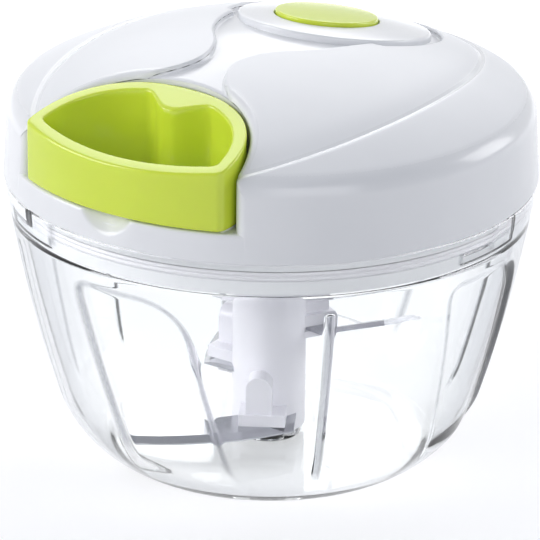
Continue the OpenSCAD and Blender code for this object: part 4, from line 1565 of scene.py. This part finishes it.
@dataclass
class Cord(Assembly):
    """The pull cord: its turns on the reel, its run through the bush to the handle, and its knot."""

    body: str = "handle"
    radius: float = 0.8
    drum: float = 17.0
    pitch: float = 2.06
    steps: int = 94
    steps_turn: int = 24
    low_z: float = 78.31
    end_turn: float = 218.35
    run_z: float = 86.38
    bush_y: float = -27.4
    bush_bend: float = 2.2
    bend_share: float = 0.12
    knot_y: float = -36.4
    knot_size: float = 0.47
    knot_gap: float = 1.4
    stretch_gap: float = 2.3
    stretch_end_y: float = -31.4

    def winding(self) -> Surface:
        """Carries the cord along a helix on the drum that ends where the run leaves it.

        Returns:
            The winding.
        """
        turns = self.steps / self.steps_turn
        t = np.linspace(0.0, 1.0, 380)
        turn = np.radians(self.end_turn + 360.0 * turns * (t - 1.0))
        level = self.low_z + self.pitch * turns * t
        path = np.stack([self.drum * np.cos(turn), self.drum * np.sin(turn), level], -1)
        return tube(path, self.radius, 14)

    def run(self) -> Surface:
        """Carries the cord level from the drum to the bush, round a short bend and on to the knot.

        Returns:
            The run.
        """
        end = math.radians(self.end_turn)
        leave = (self.drum * math.cos(end), self.drum * math.sin(end))
        bush = (0.0, self.bush_y)
        before = (leave[0] * self.bend_share, bush[1] + (leave[1] - bush[1]) * self.bend_share)
        after_y = self.bush_y - self.bush_bend
        straight_y = np.linspace(after_y - SEAM, self.knot_y + self.knot_gap, 40)
        plan = np.concatenate(
            [
                np.linspace(leave, before, 12),
                bend(before, bush, (0.0, after_y), 14)[1:],
                np.stack([np.zeros_like(straight_y), straight_y], -1),
            ]
        )
        return tube(np.concatenate([plan, np.full((len(plan), 1), self.run_z)], -1), self.radius, 14)

    def knot(self) -> Surface:
        """Carries the cord along a three-lobed closed knot, drawn tight.

        Returns:
            The knot.
        """
        t = whole_turn(120, 2 * np.pi)
        size = self.knot_size
        path = np.stack(
            [
                size * (np.sin(t) + 2 * np.sin(2 * t)),
                self.knot_y + size * (np.cos(t) - 2 * np.cos(2 * t)),
                self.run_z - 1.6 * size * np.sin(3 * t),
            ],
            -1,
        )
        return tube(path, self.radius, 12, closed=True)

    def build(self) -> None:
        """Makes the winding on the reel, the run that pays out between lid and handle, and the knot."""
        dressed = (WHITE_CORD, Slot.CORD)
        Assembly("reel").piece("cord_turns", self.winding(), *dressed, "cord_winding", crease=60.0)
        run = self.piece("cord_run", self.run(), *dressed, "pull_cord", crease=60.0, rides=False)
        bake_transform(run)
        self.piece("cord_end_knot", self.knot(), *dressed, "cord_knot", crease=60.0)


@dataclass
class Works(Assembly):
    """The blade set and the drive inside the lid, which keep their CAD shapes."""

    body: str = "blades"

    def build(self) -> None:
        """Dresses the blade set, the reel, the clutch and its pawls."""
        self.dress(HUB_ABS_SHADED, "blade_hub")
        self.dress(BLADE_STEEL, "lower_blade", "middle_blade", "upper_blade")
        self.dress(WHITE_ACETAL, "cord_reel", "spring_cover")
        self.dress(DARK_ACETAL, "pawl_a", "pawl_b", "clutch_drive")
        self.dress(TURNED_STEEL, "pawl_pins")


# Studio


@dataclass
class Studio:
    """A white sweep, a large soft lamp at the left, one behind, two weaker ones, and a long-lens camera."""

    azimuth: float = 36.5
    elevation: float = 21.71
    distance: float = 998.72
    aim_z: float = 42.88
    roll: float = 0.64
    focal_px: float = 4233.16
    frame_px: float = 540.0
    sensor: float = 36.0
    ambient: float = 0.26
    room: str = "#DDE5F7"
    front_grey: str = "#BFC3CC"
    front_range: Pair = (-0.3, 0.4)
    floor_half: float = 3000.0
    floor_z: float = -0.05
    # The lamps' distance and the height that they look at, in metres.
    lamp_far: float = 1.3
    lamp_aim_z: float = 0.05

    def toward(self, side: float, lift: float) -> Array:
        """Returns the direction to a place, in degrees to the right of the camera and above the floor."""
        turn, rise = math.radians(self.azimuth + side), math.radians(lift)
        return np.array([math.cos(rise) * math.sin(turn), -math.cos(rise) * math.cos(turn), math.sin(rise)])

    @staticmethod
    def level_axes(away: Array) -> tuple[Array, Array]:
        """Returns the right and up directions of what looks against a direction and stands level."""
        across = np.cross(UP, away)
        across /= np.linalg.norm(across)
        return across, np.cross(away, across)

    @staticmethod
    def stand(
        name: str, data: bpy.types.ID, across: Array, upward: Array, away: Array, place: Array
    ) -> bpy.types.Object:
        """Stands a camera or a lamp at a place.

        Args:
            name: Name of the object.
            data: The camera or lamp.
            across: Its direction to the right.
            upward: Its direction up.
            away: The direction that it looks against.
            place: Its place in metres.

        Returns:
            The new object.
        """
        made = bpy.data.objects.new(name, data)
        rows = np.stack([across, upward, away, place], -1).tolist()
        made.matrix_world = Matrix(rows + [[0.0, 0.0, 0.0, 1.0]])
        bpy.context.scene.collection.objects.link(made)
        return made

    def camera(self) -> None:
        """Places the camera at the photograph's viewpoint."""
        away = self.toward(0.0, self.elevation)
        right, up = self.level_axes(away)
        roll = math.radians(self.roll)
        across = math.cos(roll) * right + math.sin(roll) * up
        upward = -math.sin(roll) * right + math.cos(roll) * up
        lens = bpy.data.cameras.new("camera")
        lens.sensor_fit = "HORIZONTAL"
        lens.sensor_width = self.sensor
        lens.lens = self.sensor * self.focal_px / self.frame_px
        place = (self.aim_z * UP + self.distance * away) * MM
        bpy.context.scene.camera = self.stand("camera", lens, across, upward, away, place)

    def lamp(self, name: str, side: float, lift: float, size: float, power: float) -> None:
        """Hangs a square soft lamp that looks at the object.

        Args:
            name: Name of the lamp.
            side: Angle in degrees to the right of the camera, seen from above.
            lift: Angle in degrees above the floor.
            size: Width in metres.
            power: Power in watts.
        """
        away = self.toward(side, lift)
        light = bpy.data.lights.new(name, "AREA")
        light.size = size
        light.energy = power
        self.stand(name, light, *self.level_axes(away), away, self.lamp_aim_z * UP + self.lamp_far * away)

    def world(self) -> None:
        """Makes a pale room, white to the camera, grey in reflections from the front, that lights weakly."""
        made = bpy.data.worlds.new("white_room")
        made.use_nodes = True
        tree = made.node_tree
        tree.nodes.clear()
        ahead_x, ahead_y, _ = (-self.toward(0.0, self.elevation)).tolist()
        way = add_node(tree, "TexCoord").outputs["Generated"]
        behind = add_node(tree, "VectorMath", {0: way, 1: (ahead_x, ahead_y, 0.0)}, operation="DOT_PRODUCT")
        low, high = self.front_range
        reach = {"Value": behind.outputs["Value"], "From Min": low, "From Max": high}
        share = add_node(tree, "MapRange", reach, interpolation_type="SMOOTHSTEP").outputs["Result"]
        first = add_node(tree, "LightPath").outputs["Is Camera Ray"]
        white_part = add_node(tree, "Math", {0: share, 1: first}, operation="MAXIMUM").outputs[0]
        colours = {0: white_part, MIX_A: linear(self.front_grey), MIX_B: linear("#FFFFFF")}
        wall = add_node(tree, "Mix", colours, data_type="RGBA").outputs[MIX_OUT]
        room = add_node(tree, "Background", {"Color": linear(self.room), "Strength": self.ambient})
        white = add_node(tree, "Background", {"Color": wall, "Strength": 1.0})
        sides = {0: seen(tree), 1: room.outputs["Background"], 2: white.outputs["Background"]}
        both = add_node(tree, "MixShader", sides)
        add_node(tree, "OutputWorld", {"Surface": both.outputs["Shader"]})
        bpy.context.scene.world = made

    def floor(self) -> None:
        """Makes the pale floor of matt paper."""
        side = np.linspace(-self.floor_half, self.floor_half, 3)
        x, y = np.meshgrid(side, side, indexing="ij")
        surface = Surface.grid(np.stack([x, y, np.full_like(x, self.floor_z)], -1)).facing(UP)
        mesh = mesh_of("floor", surface, 40.0)
        mesh.materials.append(PAPER.material())
        made = bpy.data.objects.new("floor", mesh)
        bpy.context.scene.collection.objects.link(made)

    def build(self) -> None:
        """Sets the view, camera, lamps, world and floor."""
        bpy.context.scene.view_settings.view_transform = "Standard"
        self.camera()
        self.world()
        self.floor()
        self.lamp("key", side=-84.0, lift=22.0, size=0.8, power=10.6)
        self.lamp("back", side=176.0, lift=40.0, size=1.0, power=8.0)
        self.lamp("right", side=108.0, lift=20.0, size=0.6, power=4.6)
        self.lamp("fill", side=18.0, lift=18.0, size=0.8, power=4.4)


def main() -> None:
    """Builds the studio and the sub-assemblies in order."""
    logging.basicConfig(level=logging.INFO, format="%(message)s")
    for part in (Studio(), Cord(), Bowl(), Cover(), Handle(), Works()):
        part.build()


if __name__ == "__main__":
    main()
